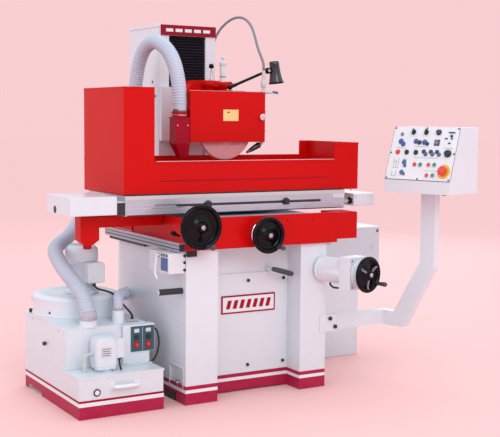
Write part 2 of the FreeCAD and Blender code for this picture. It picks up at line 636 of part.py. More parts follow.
def make_coolant_pipe():
    """The coolant valve on the hood's top right, the pipe down its side and the nozzle at the wheel."""
    across = S.hood_right
    valve = rod("coolant_riser", 9, 118, (214, -60, 1497))
    body = rod("coolant_body", 15, 34, (219, -60, 1530))
    plate = box("coolant_plate", (across + 0.5, -76, 1420), (across + 6, -44, 1500))
    down = rod("coolant_down", 8, 275, (across + 11, -60, 1225))
    foot = rod("coolant_foot", 8, 34, (across + 11, -60, 1232), Rotation(Y, -90))
    tip = cone("coolant_tip", 22, 8, 95, (190, -60, 1232), Rotation(Y, -118))
    stem = rod("tap_stem", 4, 30, (219, -62, 1547), TO_FRONT)
    tap = box("tap_bar", (210, -98, 1542), (260, -90, 1552))
    node(fuse("coolant_set", [valve, body, plate, down, foot, tip, stem, tap]), "coolant_pipe")


def make_spindle():
    reach = S.spindle_across / 2
    shaft = [(0, -25), (12, -25), (12, -20), (reach, -19), (reach, 200), (0, 200)]
    node(turned("shaft_body", shaft, (S.wheel_x, -S.wheel_mid - 5, S.spindle_high), TO_BACK), "spindle_shaft")
    outer = S.wheel_across / 2
    bore = S.wheel_bore / 2
    thick = S.wheel_thick / 2
    ring = [(bore, -thick), (outer - 2, -thick), (outer, 2 - thick), (outer, thick - 2), (outer - 2, thick),
            (bore, thick)]
    node(turned("wheel_ring", ring, (S.wheel_x, -S.wheel_mid, S.spindle_high), TO_BACK), "grinding_wheel")
    clamp = [(reach + 0.05, -24), (30, -24), (58, -18), (58, -thick - 0.1), (bore - 0.1, -thick - 0.1),
             (bore - 0.1, thick + 0.1), (58, thick + 0.1), (58, thick + 8), (reach + 0.05, thick + 10)]
    node(turned("flange_body", clamp, (S.wheel_x, -S.wheel_mid, S.spindle_high), TO_BACK), "wheel_flange")


def make_lamp():
    first = Vector(43, -8, 1526)
    last = Vector(270, -8, 1617)
    arm = doc.addObject("Part::Feature", "lamp_bar")
    arm.Shape = Part.makeCylinder(7, first.distanceToPoint(last), first, last - first)
    knuckle = ball("lamp_knuckle", 17, (270, -8, 1617))
    node(fuse("lamp_arm_set", [ball("lamp_joint", 13, tuple(first)), arm, knuckle]), "lamp_arm")
    profile = [(0, 61), (20, 59), (25, 50), (27, 10), (32, -20), (39, -46), (41, -60), (37, -60), (35, -42),
               (0, -22)]
    node(turned("lamp_shade", profile, (316, -8, 1610), Rotation(Y, -8)), "lamp_head")


def make_levers():
    stem = rod("brake_stem", 6, 66, (63, 230, 1567))
    node(fuse("brake_set", [stem, ball("brake_ball", 13, (63, 230, 1643))]), "head_clamp_lever")
    pin = rod("speed_pin", 9, 14, (-HALF - 90.5, FRONT + 102, 720), Rotation(Y, -90))
    blade = box("speed_blade", (-HALF - 112, FRONT + 94, 604), (-HALF - 104, FRONT + 110, 730))
    node(fuse("speed_set", [pin, blade]), "table_speed_lever")
    recess = FRONT + S.recess_deep
    stub = rod("reverse_stub", 12, 66, (122, recess - 0.5 - 5, 618), TO_FRONT)
    start = Vector(122, recess.value - 72, 618)
    grip_end = Vector(231, recess.value - 72, 587)
    bar = doc.addObject("Part::Feature", "reverse_bar")
    bar.Shape = Part.makeCylinder(13, start.distanceToPoint(grip_end), start, grip_end - start)
    node(fuse("reverse_set", [stub, bar]), "table_reverse_lever")


# Pendant: a bent arm on the right leg and a sloped console that swivels on its post.
def make_pendant():
    turn = Rotation(Z, -74)
    at = (S.post_x, S.post_y, 0)
    high = S.arm_low + S.arm_high
    thick = S.arm_thick
    outline = [(-271, S.arm_low), (-140, S.arm_low), (36, 620), (36, S.console_low - 8), (-49, S.console_low - 8),
               (-49, 645), (-205, high), (-271, high)]
    post = padded("arm_post", "XZ_Plane", outline, thick, at, turn, reverse=True)
    bar = box("arm_bar", (HALF + 0.5, FRONT - 6, S.arm_low), (806, FRONT - 6 + thick, high))
    flange = box("arm_flange", (HALF - 36, FRONT - 6, S.arm_low - 8), (HALF + 70, FRONT - 0.5, high + 4))
    boss = rod("arm_boss", 30, 10, (S.post_x, S.post_y, S.console_low - 10.5))
    node(fuse("arm_set", [post, bar, flange, boss]), "pendant_arm")
    wall = S.console_wall
    front = S.console_foot
    profile = [(-front, S.console_low), (S.console_back, S.console_low), (S.console_back, S.console_top),
               (-S.console_brow, S.console_top), (-front, S.console_step)]
    inner = [(wall - front, S.console_low + wall), (S.console_back - wall, S.console_low + wall),
             (S.console_back - wall, S.console_top - wall), (wall - S.console_brow, S.console_top - wall),
             (wall - front, S.console_step)]
    start = Placement(Vector(S.post_x.value, S.post_y.value, 0), turn).multVec(Vector(-175, 0, 0))
    shell = padded("console_outer", "YZ_Plane", profile, S.console_long, tuple(start), turn)
    inner_start = Placement(Vector(S.post_x.value, S.post_y.value, 0), turn).multVec(Vector(-172, 0, 0))
    space = padded("console_inner", "YZ_Plane", inner, S.console_long - 6, tuple(inner_start), turn)
    node(cut("console_cut", shell, [space]), "console_shell")


def panel_place(along, up):
    """The placement of a control on the console's sloped face: along the face and up the slope."""
    slope_run = S.console_foot.value - S.console_brow.value
    slope_rise = S.console_top.value - S.console_step.value
    length = math.hypot(slope_run, slope_rise)
    depth = -S.console_foot.value + slope_run * up / length
    high = S.console_step.value + slope_rise * up / length
    frame = Placement(Vector(S.post_x.value, S.post_y.value, 0), Rotation(Z, -74))
    tilt = Rotation(X, 90 - math.degrees(math.atan2(slope_run, slope_rise)))
    local = Placement(Vector(along, depth, high), tilt)
    return frame.multiply(local)


def panel_knob(label, parts_made, along, up):
    item = fuse(f"{label}_set", parts_made) if len(parts_made) > 1 else parts_made[0]
    item.Placement = panel_place(along, up)
    node(item, label)


def make_controls():
    for label, along in (("wheel_selector", -50), ("table_selector", 25)):
        panel_knob(label, [rod(f"{label}_disc", 12, 9, (0, 0, 0.4)), box(f"{label}_bar", (-4, -14, 8), (4, 14, 20))],
                   along, 249)
    for label, along in (("start_button", 27), ("stop_button", -7)):
        panel_knob(label, [rod(f"{label}_stem", 7, 8, (0, 0, 0.4)), rod(f"{label}_cap", 10, 6, (0, 0, 5))], along, 82)
    panel_knob("emergency_stop", [rod("estop_stem", 12, 16, (0, 0, 0.4)),
                                  cone("estop_cap", 24, 20, 14, (0, 0, 16))],
               168, 52)


# Collector: tank, chest, cyclone drum, blower motor, pump motor, control box and hose ports.
def make_collector():
    tank = box("tank_shell", (-S.tank_left, -S.tank_front, 0), (-S.tank_right, S.tank_rear, S.tank_high))
    forks = [box(f"fork_slot_{i}", (-S.tank_left - 1, along, -1), (1 - S.tank_right, along + 190, 22))
             for i, along in enumerate([112])]
    rim = 12
    water = box("tank_space", (rim - S.tank_left, rim - S.tank_front, 40), (-S.tank_right - rim, S.tank_rear - rim,
                                                                          S.tank_high - 6))
    handle = [
        box("handle_bar", (-775, -S.tank_front - 30, 132), (-650, -S.tank_front - 18, 150)),
        box("handle_left", (-775, -S.tank_front - 19, 132), (-763, 1 - S.tank_front, 150)),
        box("handle_right", (-662, -S.tank_front - 19, 132), (-650, 1 - S.tank_front, 150))]
    node(fuse("tank_with_handle", [cut("tank_cut", tank, forks + [water])] + handle), "collector_tank")
    chest = box("chest_shell", (-S.tank_left, -S.chest_front, S.tank_high + 0.5), (-S.tank_right, S.tank_rear,
                                                                                 S.chest_high))
    corner = box("chest_corner", (-S.control_left - 1, -S.chest_front - 1, S.tank_high), (1 - S.tank_right,
                                                                                        -S.control_back,
                                                                                        S.chest_high + 1))
    chest_space = box("chest_space", (4 - S.tank_left, 4 - S.chest_front, S.tank_high + 5),
                      (-S.control_left - 5, S.tank_rear - 4, S.chest_high - 4))
    ports = [rod("dust_port", S.dust_across / 2 + 1, 31, (S.port_x, S.port_y, S.chest_high - 2)),
             rod("return_port", S.return_across / 2 + 1, 63.5, (S.return_x, S.return_y, S.chest_high - 2))]
    bores = [rod("dust_port_bore", S.dust_across / 2 - 4, 80, (S.port_x, S.port_y, S.chest_high - 30)),
             rod("return_port_bore", S.return_across / 2 - 4, 100, (S.return_x, S.return_y, S.chest_high - 30))]
    box_cut = cut("chest_open", chest, [corner, chest_space])
    node(cut("chest_cut", fuse("chest_ports", [box_cut] + ports), bores), "collector_chest")
    control = box("control_shell", (-S.control_left, -S.control_front, S.tank_high + 0.5),
                  (-S.tank_right + 2, -S.control_back - 0.5, S.chest_high - 2))
    upper = box("control_upper", (-S.control_left + 37, -S.control_front - 3, 250),
                (-S.control_end, -S.control_back - 0.5, S.chest_high - 2))
    node(fuse("control_set", [control, upper]), "tank_control_box")
    radius = S.drum_across / 2
    high = S.drum_high
    drum = [(0, high - 10), (radius - 70, high - 10), (radius - 60, high), (radius - 14, high), (radius - 3, high - 6),
            (radius, high - 16), (radius, 0.5), (0, 0.5)]
    node(turned("drum_body", drum, (S.drum_x, S.drum_y, S.chest_high)), "dust_drum")
    top = S.chest_high + high
    motor = [(0, -9), (85, -9), (85, 4), (S.blower_across / 2, 10), (S.blower_across / 2, 150),
             (S.blower_cap / 2, 152), (S.blower_cap / 2, 212), (S.blower_cap / 2 - 12, 232), (0, 236)]
    middle = S.drum_y + 18
    motor_body = turned("blower_body", motor, (S.blower_x, middle, top))
    terminal = box("blower_terminals", (S.blower_x - 14, middle - 128, top + 50),
                   (S.blower_x + 68, middle - 48, top + 150))
    node(fuse("blower_set", [motor_body, terminal]), "blower_motor")
    pump = box("pump_case", (-822, -322, S.tank_high + 12), (-720, -222, 352))
    foot = rod("pump_foot", 44, 13, (-771, -272, S.tank_high + 0.5))
    side_box = box("pump_terminals", (-721, -308, 249), (-681, -240, 341))
    soft = rounded("pump_round", pump, 22, lambda mid, way: abs(way.y) > 90)
    node(fuse("pump_set", [soft, foot, side_box]), "pump_motor")


def make_back_boxes():
    tank = box("hydraulic_shell", (S.hydraulic_left, S.hydraulic_front, 0), (S.hydraulic_right, S.hydraulic_back,
                                                                           S.hydraulic_high))
    space = box("hydraulic_space", (S.hydraulic_left + 8, S.hydraulic_front + 8, 40),
                (S.hydraulic_right - 8, S.hydraulic_back - 8, S.hydraulic_high - 8))
    node(cut("hydraulic_cut", tank, [space]), "hydraulic_tank")
    shell = box("cabinet_shell", (S.cabinet_left, S.cabinet_front, S.cabinet_low - 4.5), (S.cabinet_right,
                                                                                   S.cabinet_back,
                                                                                   S.cabinet_high))
    room = box("cabinet_room", (S.cabinet_left + 3, S.cabinet_front + 3, S.cabinet_low),
               (S.cabinet_right - 3, S.cabinet_back - 3, S.cabinet_high - 3))
    node(cut("cabinet_cut", shell, [room]), "electrical_cabinet")


# Cords: each route is a list of points chosen by hand.
DUST_HOSE = [
    (-272, -60, 1398.5), (-272, -60, 1456), (-270, -40, 1560), (-269, 20, 1662), (-273, 105, 1728),
    (-284, 205, 1762), (-294, 300, 1735), (-298, 370, 1650), (-304, 396, 1530), (-322, 402, 1400),
    (-366, 402, 1265), (-436, 402, 1130), (-510, 402, 1005), (-580, 398, 896), (-640, 376, 812),
    (-700, 342, 758), (-765, 296, 730), (-824, 222, 712), (-850, 140, 692), (-852, 70, 654),
    (-842, 12, 616), (-826, -40, 582), (-814, -84, 548), (-807, -122, 512), (-803, -148, 476),
    (-801, -160, 444), (-801, -160, 413.5)]
RETURN_HOSE = [
    (-640, -142, 446), (-640, -142, 484), (-627, -112, 508), (-590, -60, 510), (-545, 0, 497),
    (-508, 68, 480), (-486, 132, 464), (-470, 190, 454), (-449, 240, 448), (-420.4, 272.2, 448)]
COOLANT_HOSE = [
    (190, 470, 1640), (192, 470, 1700), (200, 468, 1770), (216, 448, 1836), (238, 398, 1888),
    (256, 316, 1918), (264, 226, 1908), (263, 140, 1864), (254, 66, 1800), (238, 6, 1736),
    (222, -38, 1686), (214, -60, 1650), (214, -60, 1615.5)]
BLOWER_CABLE = [
    (-668, 90, 548.5), (-668, 89, 530), (-652, 72, 515), (-628, 34, 512), (-603, -14, 500),
    (-586, -34, 472), (-568, -48, 446), (-551, -66, 422), (-540, -82, 404), (-540, -82, 385)]
CONTROL_CABLE = [
    (-486.4, -195, 352), (-472, -195, 352), (-460, -197, 338), (-453, -199, 308), (-452, -202, 272),
    (-460, -204, 238), (-473, -206, 210), (-492, -206, 190), (-512.5, -206, 190)]


def make_cords():
    for name, points, across in (
            ("dust_hose", DUST_HOSE, 75), ("return_hose", RETURN_HOSE, 50), ("coolant_hose", COOLANT_HOSE, 14),
            ("blower_cable", BLOWER_CABLE, 10), ("control_cable", CONTROL_CABLE, 9)):
        node(tube_along(f"{name}_tube", points, across), name)


for make in (make_base, make_base_fittings, make_column, make_lift_gear, make_handwheels, make_saddle, make_trough,
             make_table, make_splash_guard, make_head, make_nozzle, make_coolant_pipe, make_spindle, make_lamp,
             make_levers, make_pendant, make_controls, make_collector, make_back_boxes, make_cords):
    make()
doc.recompute()

for item in doc.Objects:
    if "Invalid" in item.State or "Error" in item.State:
        raise RuntimeError(f"{item.Name} failed: {item.State}")
labels = [item.Label for item in NODES]
if len(set(labels)) != len(labels) or len(labels) > 60:
    raise RuntimeError(f"{len(labels)} nodes, {len(set(labels))} names")
os.makedirs("parts", exist_ok=True)
for item in NODES:
    if item.Shape.isNull() or not item.Shape.isValid():
        raise RuntimeError(f"{item.Label} has no valid shape")
    item.Shape.exportStep(f"parts/{item.Label}.step")
print(len(NODES), "nodes written")
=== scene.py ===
"""Looks of the surface grinder: cords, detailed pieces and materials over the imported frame.

Numbers are millimetres in the CAD frame unless a name says otherwise: +X to the operator's right,
+Y to the column, +Z up, the origin on the floor under the middle of the base's front block.
"""
import bpy
import bmesh
import itertools
import math
from mathutils import Matrix, Vector


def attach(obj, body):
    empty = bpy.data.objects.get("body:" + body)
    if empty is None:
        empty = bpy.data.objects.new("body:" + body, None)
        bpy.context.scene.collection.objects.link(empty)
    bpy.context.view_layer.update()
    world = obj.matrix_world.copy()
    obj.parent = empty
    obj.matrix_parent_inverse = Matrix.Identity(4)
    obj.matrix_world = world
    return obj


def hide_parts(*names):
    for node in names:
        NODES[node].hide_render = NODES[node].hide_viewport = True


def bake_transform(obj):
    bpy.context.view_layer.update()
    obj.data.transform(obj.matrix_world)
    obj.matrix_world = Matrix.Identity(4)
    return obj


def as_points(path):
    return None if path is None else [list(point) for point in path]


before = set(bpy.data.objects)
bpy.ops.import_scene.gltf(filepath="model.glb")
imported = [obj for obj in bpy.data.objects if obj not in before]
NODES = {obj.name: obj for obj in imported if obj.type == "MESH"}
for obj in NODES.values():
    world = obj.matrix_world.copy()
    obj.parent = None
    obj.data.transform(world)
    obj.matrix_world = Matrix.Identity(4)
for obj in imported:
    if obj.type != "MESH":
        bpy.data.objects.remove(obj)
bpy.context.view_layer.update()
scene = bpy.context.scene
scene.view_settings.view_transform = "Standard"
RIGHT, LEFT, BACK, FRONT, UP, DOWN = (1, 0, 0), (-1, 0, 0), (0, 1, 0), (0, -1, 0), (0, 0, 1), (0, 0, -1)
TURN = 2 * math.pi


# ---------------------------------------------------------------- camera
def make_camera():
    yaw, pitch, roll = math.radians(30.599), math.radians(-5.397), math.radians(0.543)
    ahead = Vector((math.sin(yaw) * math.cos(pitch), math.cos(yaw) * math.cos(pitch), math.sin(pitch)))
    level = Vector((math.cos(yaw), -math.sin(yaw), 0))
    rise = level.cross(ahead)
    right = math.cos(roll) * level + math.sin(roll) * rise
    up = math.cos(roll) * rise - math.sin(roll) * level
    data = bpy.data.cameras.new("camera")
    data.sensor_width = 36
    data.lens = 77.32
    camera = bpy.data.objects.new("camera", data)
    place_m = (-2.6945, -4.8526, 1.3747)
    camera.matrix_world = Matrix.Translation(place_m) @ Matrix((right, up, -ahead)).transposed().to_4x4()
    scene.collection.objects.link(camera)
    scene.camera = camera


make_camera()


# ---------------------------------------------------------------- materials
def set_inputs(tree, node, inputs):
    """Fills a node's inputs: another node's socket is linked, anything else is the value."""
    for name, value in inputs.items():
        if isinstance(value, bpy.types.NodeSocket):
            tree.links.new(value, node.inputs[name])
        else:
            node.inputs[name].default_value = value


def add_node(tree, kind, inputs, output=0, **settings):
    """Adds a node and gives back one of its outputs."""
    made = tree.nodes.new(f"ShaderNode{kind}")
    for name, value in settings.items():
        setattr(made, name, value)
    set_inputs(tree, made, inputs)
    return made.outputs[output]


def finish(name, colour, rough=0.4, metal=0.0, coat=0.0, vary=0.04, patch=3.0, bump=0.05, grain=260,
           stretch=(1, 1, 1), grime=0.0, clear=0.0, rough_vary=0.06, spec=0.5):
    """A node material: uneven colour and gloss, a fine surface bump and a little dirt near the floor."""
    made = bpy.data.materials.new(name)
    made.use_nodes = True
    tree = made.node_tree
    where = add_node(tree, "TexCoord", {}, "Object")
    squeezed = add_node(tree, "Mapping", {"Scale": stretch, "Vector": where})
    cloud = add_node(tree, "TexNoise", {"Scale": patch, "Detail": 6, "Vector": squeezed})
    tone = add_node(tree, "Mix", {"A": [channel * (1 - vary * 2) for channel in colour] + [1],
                                  "B": [min(1, channel * (1 + vary)) for channel in colour] + [1],
                                  "Factor": cloud}, "Result", data_type="RGBA")
    if grime:
        height = add_node(tree, "SeparateXYZ", {"Vector": where}, "Z")
        low = add_node(tree, "MapRange", {"From Min": 0.0, "From Max": 0.45, "To Min": grime, "To Max": 0.0,
                                          "Value": height})
        spots = add_node(tree, "TexNoise", {"Scale": 24, "Detail": 8, "Vector": where})
        both = add_node(tree, "Math", {0: low, 1: spots}, operation="MULTIPLY")
        tone = add_node(tree, "Mix", {"A": tone, "B": (0.30, 0.27, 0.25, 1), "Factor": both}, "Result",
                        data_type="RGBA")
    gloss = add_node(tree, "MapRange", {"To Min": max(0.02, rough - rough_vary),
                                        "To Max": min(1, rough + rough_vary), "Value": cloud})
    fine = add_node(tree, "TexNoise", {"Scale": grain, "Detail": 3, "Vector": squeezed})
    relief = add_node(tree, "Bump", {"Strength": bump, "Distance": 0.002, "Height": fine})
    set_inputs(tree, tree.nodes["Principled BSDF"], {
        "Base Color": tone, "Roughness": gloss, "Normal": relief, "Metallic": metal, "Coat Weight": coat,
        "Coat Roughness": 0.12, "Specular IOR Level": spec, "Transmission Weight": clear})
    return made


WHITE = finish("white_enamel", (0.725, 0.81, 0.865), 0.36, coat=0.25, vary=0.012, grime=0.25)
# This white also paints the highlight along the splash guard's top hem.
PLATE_AND_PAINTED_HIGHLIGHT = finish("white_panel_and_painted_highlight", (0.78, 0.86, 0.90), 0.3, coat=0.3, vary=0.01)
PALE = finish("pale_grey_enamel", (0.645, 0.725, 0.79), 0.42, coat=0.2, vary=0.015, grime=0.2)
RED = finish("red_enamel", (0.60, 0.003, 0.003), 0.36, coat=0.06, vary=0.03, spec=0.12)
# This carmine also paints the shade in the splash guard's pressed crease.
CARMINE_AND_PAINTED_SHADE = finish("carmine_enamel_and_painted_shade", (0.37, 0.003, 0.022), 0.4, coat=0.05, vary=0.03, spec=0.12)
SIGN = finish("sign_enamel", (0.27, 0.006, 0.022), 0.4, coat=0.05, vary=0.03, spec=0.15)
BAND = finish("crimson_band", (0.42, 0.003, 0.055), 0.4, coat=0.05, vary=0.03, grime=0.12, spec=0.15)
RAIL = finish("blue_grey_steel", (0.42, 0.49, 0.57), 0.38, metal=0.25, vary=0.05, patch=9, stretch=(1, 30, 30))
GROUND = finish("ground_iron", (0.56, 0.63, 0.72), 0.34, metal=0.65, vary=0.05, patch=5, stretch=(1, 40, 40))
CREAM = finish("cream_enamel", (0.58, 0.60, 0.60), 0.42, coat=0.15, vary=0.02)
STEEL = finish("bare_steel", (0.58, 0.58, 0.60), 0.28, metal=1, vary=0.05, patch=8, bump=0.08)
BRIGHT = finish("bright_plating", (0.82, 0.82, 0.84), 0.1, metal=1, vary=0.02, bump=0.01)
BRASS = finish("brass", (0.72, 0.52, 0.22), 0.25, metal=1, vary=0.06, patch=12)
BLACK = finish("black_bakelite", (0.003, 0.003, 0.005), 0.16, coat=0.16, vary=0.1, bump=0.01, rough_vary=0.03,
               spec=0.1)
LAMPBLACK = finish("lamp_enamel", (0.016, 0.019, 0.028), 0.24, coat=0.5, vary=0.1, patch=14, bump=0.03)
DARK = finish("dark_plastic", (0.022, 0.024, 0.03), 0.42, vary=0.1, patch=14, bump=0.1)
SLATE = finish("slate_plastic", (0.05, 0.06, 0.075), 0.45, vary=0.1, patch=14, bump=0.1)
# This black also paints the shadow in the gap under the splash guard.
RUBBER_AND_PAINTED_SHADOW = finish("black_rubber", (0.018, 0.018, 0.02), 0.62, vary=0.15, patch=16, bump=0.2)
PLEAT = finish("bellows_cloth", (0.012, 0.012, 0.022), 0.5, vary=0.2, patch=20, bump=0.4, grain=900)
HOSE = finish("ribbed_hose", (0.50, 0.57, 0.68), 0.4, coat=0.2, vary=0.05, patch=7, bump=0.05)
CUFF = finish("clear_cuff", (0.72, 0.72, 0.84), 0.18, coat=0.4, vary=0.03, clear=0.35)
GREYHOSE = finish("grey_hose", (0.22, 0.22, 0.26), 0.45, vary=0.08, patch=20)
ABRASIVE = finish("pink_abrasive", (0.86, 0.38, 0.41), 0.9, vary=0.12, patch=140, bump=0.8, grain=1300)
BLOTTER = finish("wheel_label_paper", (0.80, 0.55, 0.58), 0.8, vary=0.04, patch=30)
TEAL = finish("teal_panel", (0.016, 0.09, 0.115), 0.4, coat=0.2, vary=0.05)
STICKER = finish("pale_yellow_label", (0.95, 0.66, 0.26), 0.5, vary=0.03)
YELLOW = finish("yellow_plastic", (0.85, 0.50, 0.03), 0.35, coat=0.3)
BLUE = finish("blue_plastic", (0.06, 0.11, 0.38), 0.4, coat=0.2)
INK = finish("blue_ink", (0.08, 0.15, 0.34), 0.5)
REDCAP = finish("red_plastic", (0.75, 0.03, 0.02), 0.3, coat=0.4)
GREENCAP = finish("green_plastic", (0.03, 0.28, 0.12), 0.35, coat=0.3)
GLASS = finish("clear_glass", (0.80, 0.82, 0.88), 0.06, coat=0.5, clear=0.7, vary=0.01, bump=0.0)
LENS = finish("lamp_lens", (0.75, 0.76, 0.80), 0.2, coat=0.5, clear=0.2)


# ---------------------------------------------------------------- cords
DUST_HOSE = [
    (-272, -60, 1398.5), (-272, -60, 1456), (-270, -40, 1560), (-269, 20, 1662), (-273, 105, 1728),
    (-284, 205, 1762), (-294, 300, 1735), (-298, 370, 1650), (-304, 396, 1530), (-322, 402, 1400),
    (-366, 402, 1265), (-436, 402, 1130), (-510, 402, 1005), (-580, 398, 896), (-640, 376, 812),
    (-700, 342, 758), (-765, 296, 730), (-824, 222, 712), (-850, 140, 692), (-852, 70, 654),
    (-842, 12, 616), (-826, -40, 582), (-814, -84, 548), (-807, -122, 512), (-803, -148, 476),
    (-801, -160, 444), (-801, -160, 413.5)]
RETURN_HOSE = [
    (-640, -142, 446), (-640, -142, 484), (-627, -112, 508), (-590, -60, 510), (-545, 0, 497),
    (-508, 68, 480), (-486, 132, 464), (-470, 190, 454), (-449, 240, 448), (-420.4, 272.2, 448)]
COOLANT_HOSE = [
    (190, 470, 1640), (192, 470, 1700), (200, 468, 1770), (216, 448, 1836), (238, 398, 1888),
    (256, 316, 1918), (262, 226, 1908), (256, 144, 1864), (241, 78, 1800), (223, 18, 1736),
    (214, -33, 1686), (214, -60, 1650), (214, -60, 1615.5)]
BLOWER_CABLE = [
    (-668, 90, 548.5), (-668, 89, 530), (-652, 72, 515), (-628, 34, 512), (-603, -14, 500),
    (-586, -34, 472), (-568, -48, 446), (-551, -66, 422), (-540, -82, 404), (-540, -82, 385)]
CONTROL_CABLE = [
    (-486.4, -195, 352), (-472, -195, 352), (-460, -197, 338), (-453, -199, 308), (-452, -202, 272),
    (-460, -204, 238), (-473, -206, 210), (-492, -206, 190), (-512.5, -206, 190)]


def metres(point):
    return Vector(point) * 0.001


def around(count, start=0.0):
    """Level directions at equal angles."""
    return [Vector((math.cos(a), math.sin(a), 0)) for a in (start + TURN * k / count for k in range(count))]


def spline_object(name, points):
    curve = bpy.data.curves.new(name, "CURVE")
    curve.dimensions = "3D"
    curve.resolution_u = 16
    spline = curve.splines.new("NURBS")
    spline.points.add(len(points) - 1)
    for spot, point in zip(spline.points, points):
        spot.co = (*metres(point), 1)
    spline.order_u = 3
    spline.use_endpoint_u = True
    made = bpy.data.objects.new(name, curve)
    scene.collection.objects.link(made)
    return made


def spline_line(points):
    """The smooth line of a route, as points in metres."""
    made = spline_object("route", points)
    bpy.context.view_layer.update()
    mesh = bpy.data.meshes.new_from_object(made.evaluated_get(bpy.context.evaluated_depsgraph_get()))
    line = [vertex.co.copy() for vertex in mesh.vertices]
    bpy.data.objects.remove(made)
    return line


def even_steps(line, step):
    """Points at even distances along a line, and the distance of each."""
    total = [0.0]
    for before, after in zip(line, line[1:]):
        total.append(total[-1] + (after - before).length)
    count = max(2, round(total[-1] / step))
    goals = [total[-1] * number / count for number in range(count + 1)]
    spots = []
    index = 0
    for goal in goals:
        while index < len(line) - 2 and total[index + 1] < goal:
            index += 1
        share = (goal - total[index]) / max(1e-9, total[index + 1] - total[index])
        spots.append(line[index].lerp(line[index + 1], share))
    return spots, goals


def crossways(line):
    """Each point of a line with two directions across it, carried along without a twist."""
    side = None
    for index, spot in enumerate(line):
        way = (line[min(index + 1, len(line) - 1)] - line[max(index - 1, 0)]).normalized()
        side = way.orthogonal().normalized() if side is None else (side - way * side.dot(way)).normalized()
        yield spot, side, way.cross(side)


def hose_mesh(name, points, radius, pitch, depth, material, body=None, sides=24, plain=0.0):
    """A hose wall that follows the route's line, with rings pressed in at an even pitch; all in metres
    but the route. The ends stay plain."""
    spots, alongs = even_steps(spline_line(points), pitch / 6 if pitch else 0.012)
    shape = bmesh.new()
    rows = []
    for (spot, side, other), along in zip(crossways(spots), alongs):
        reach = radius - depth
        if pitch and plain < along < alongs[-1] - plain:
            reach += depth * (0.5 + 0.5 * math.cos(TURN * along / pitch)) ** 2
        rows.append([shape.verts.new(spot + (side * way.x + other * way.y) * reach) for way in around(sides)])
    for low, high in zip(rows, rows[1:]):
        for k in range(sides):
            shape.faces.new((low[k], low[(k + 1) % sides], high[(k + 1) % sides], high[k])).smooth = True
    shape.faces.new(rows[0][::-1])
    shape.faces.new(rows[-1])
    mesh = bpy.data.meshes.new(name)
    shape.to_mesh(mesh)
    mesh.materials.append(material)
    made = bpy.data.objects.new(name, mesh)
    scene.collection.objects.link(made)
    if body:
        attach(made, body)
    return made, [tuple(spot) for spot in spots]


def make_cords():
    hose, path = hose_mesh("dust_hose_wall", DUST_HOSE, 0.0375, 0.0135, 0.0028, HOSE, plain=0.03)
    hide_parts("dust_hose")
    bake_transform(hose)
    metres(DUST_HOSE[0])
    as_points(path)
    hose, path = hose_mesh("return_hose_wall", RETURN_HOSE, 0.025, 0.010, 0.0018, HOSE, "machine", plain=0.03)
    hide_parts("return_hose")
    metres(RETURN_HOSE[0])
    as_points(path)
    hose, path = hose_mesh("coolant_hose_wall", COOLANT_HOSE, 0.007, 0, 0.0, GREYHOSE, sides=16)
    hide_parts("coolant_hose")
    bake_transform(hose)
    metres(COOLANT_HOSE[0])
    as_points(path)
    for name, points, across, length in (
            ("blower_cable", BLOWER_CABLE, 10, 0.295), ("control_cable", CONTROL_CABLE, 9, 0.211)):
        lead = spline_object(f"{name}_sheath", points)
        lead.data.bevel_depth = across / 2000
        lead.data.bevel_resolution = 4
        lead.data.use_fill_caps = True
        lead.data.materials.append(RUBBER_AND_PAINTED_SHADOW)
        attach(lead, "machine")
        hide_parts(name)
        metres(points[0])


make_cords()


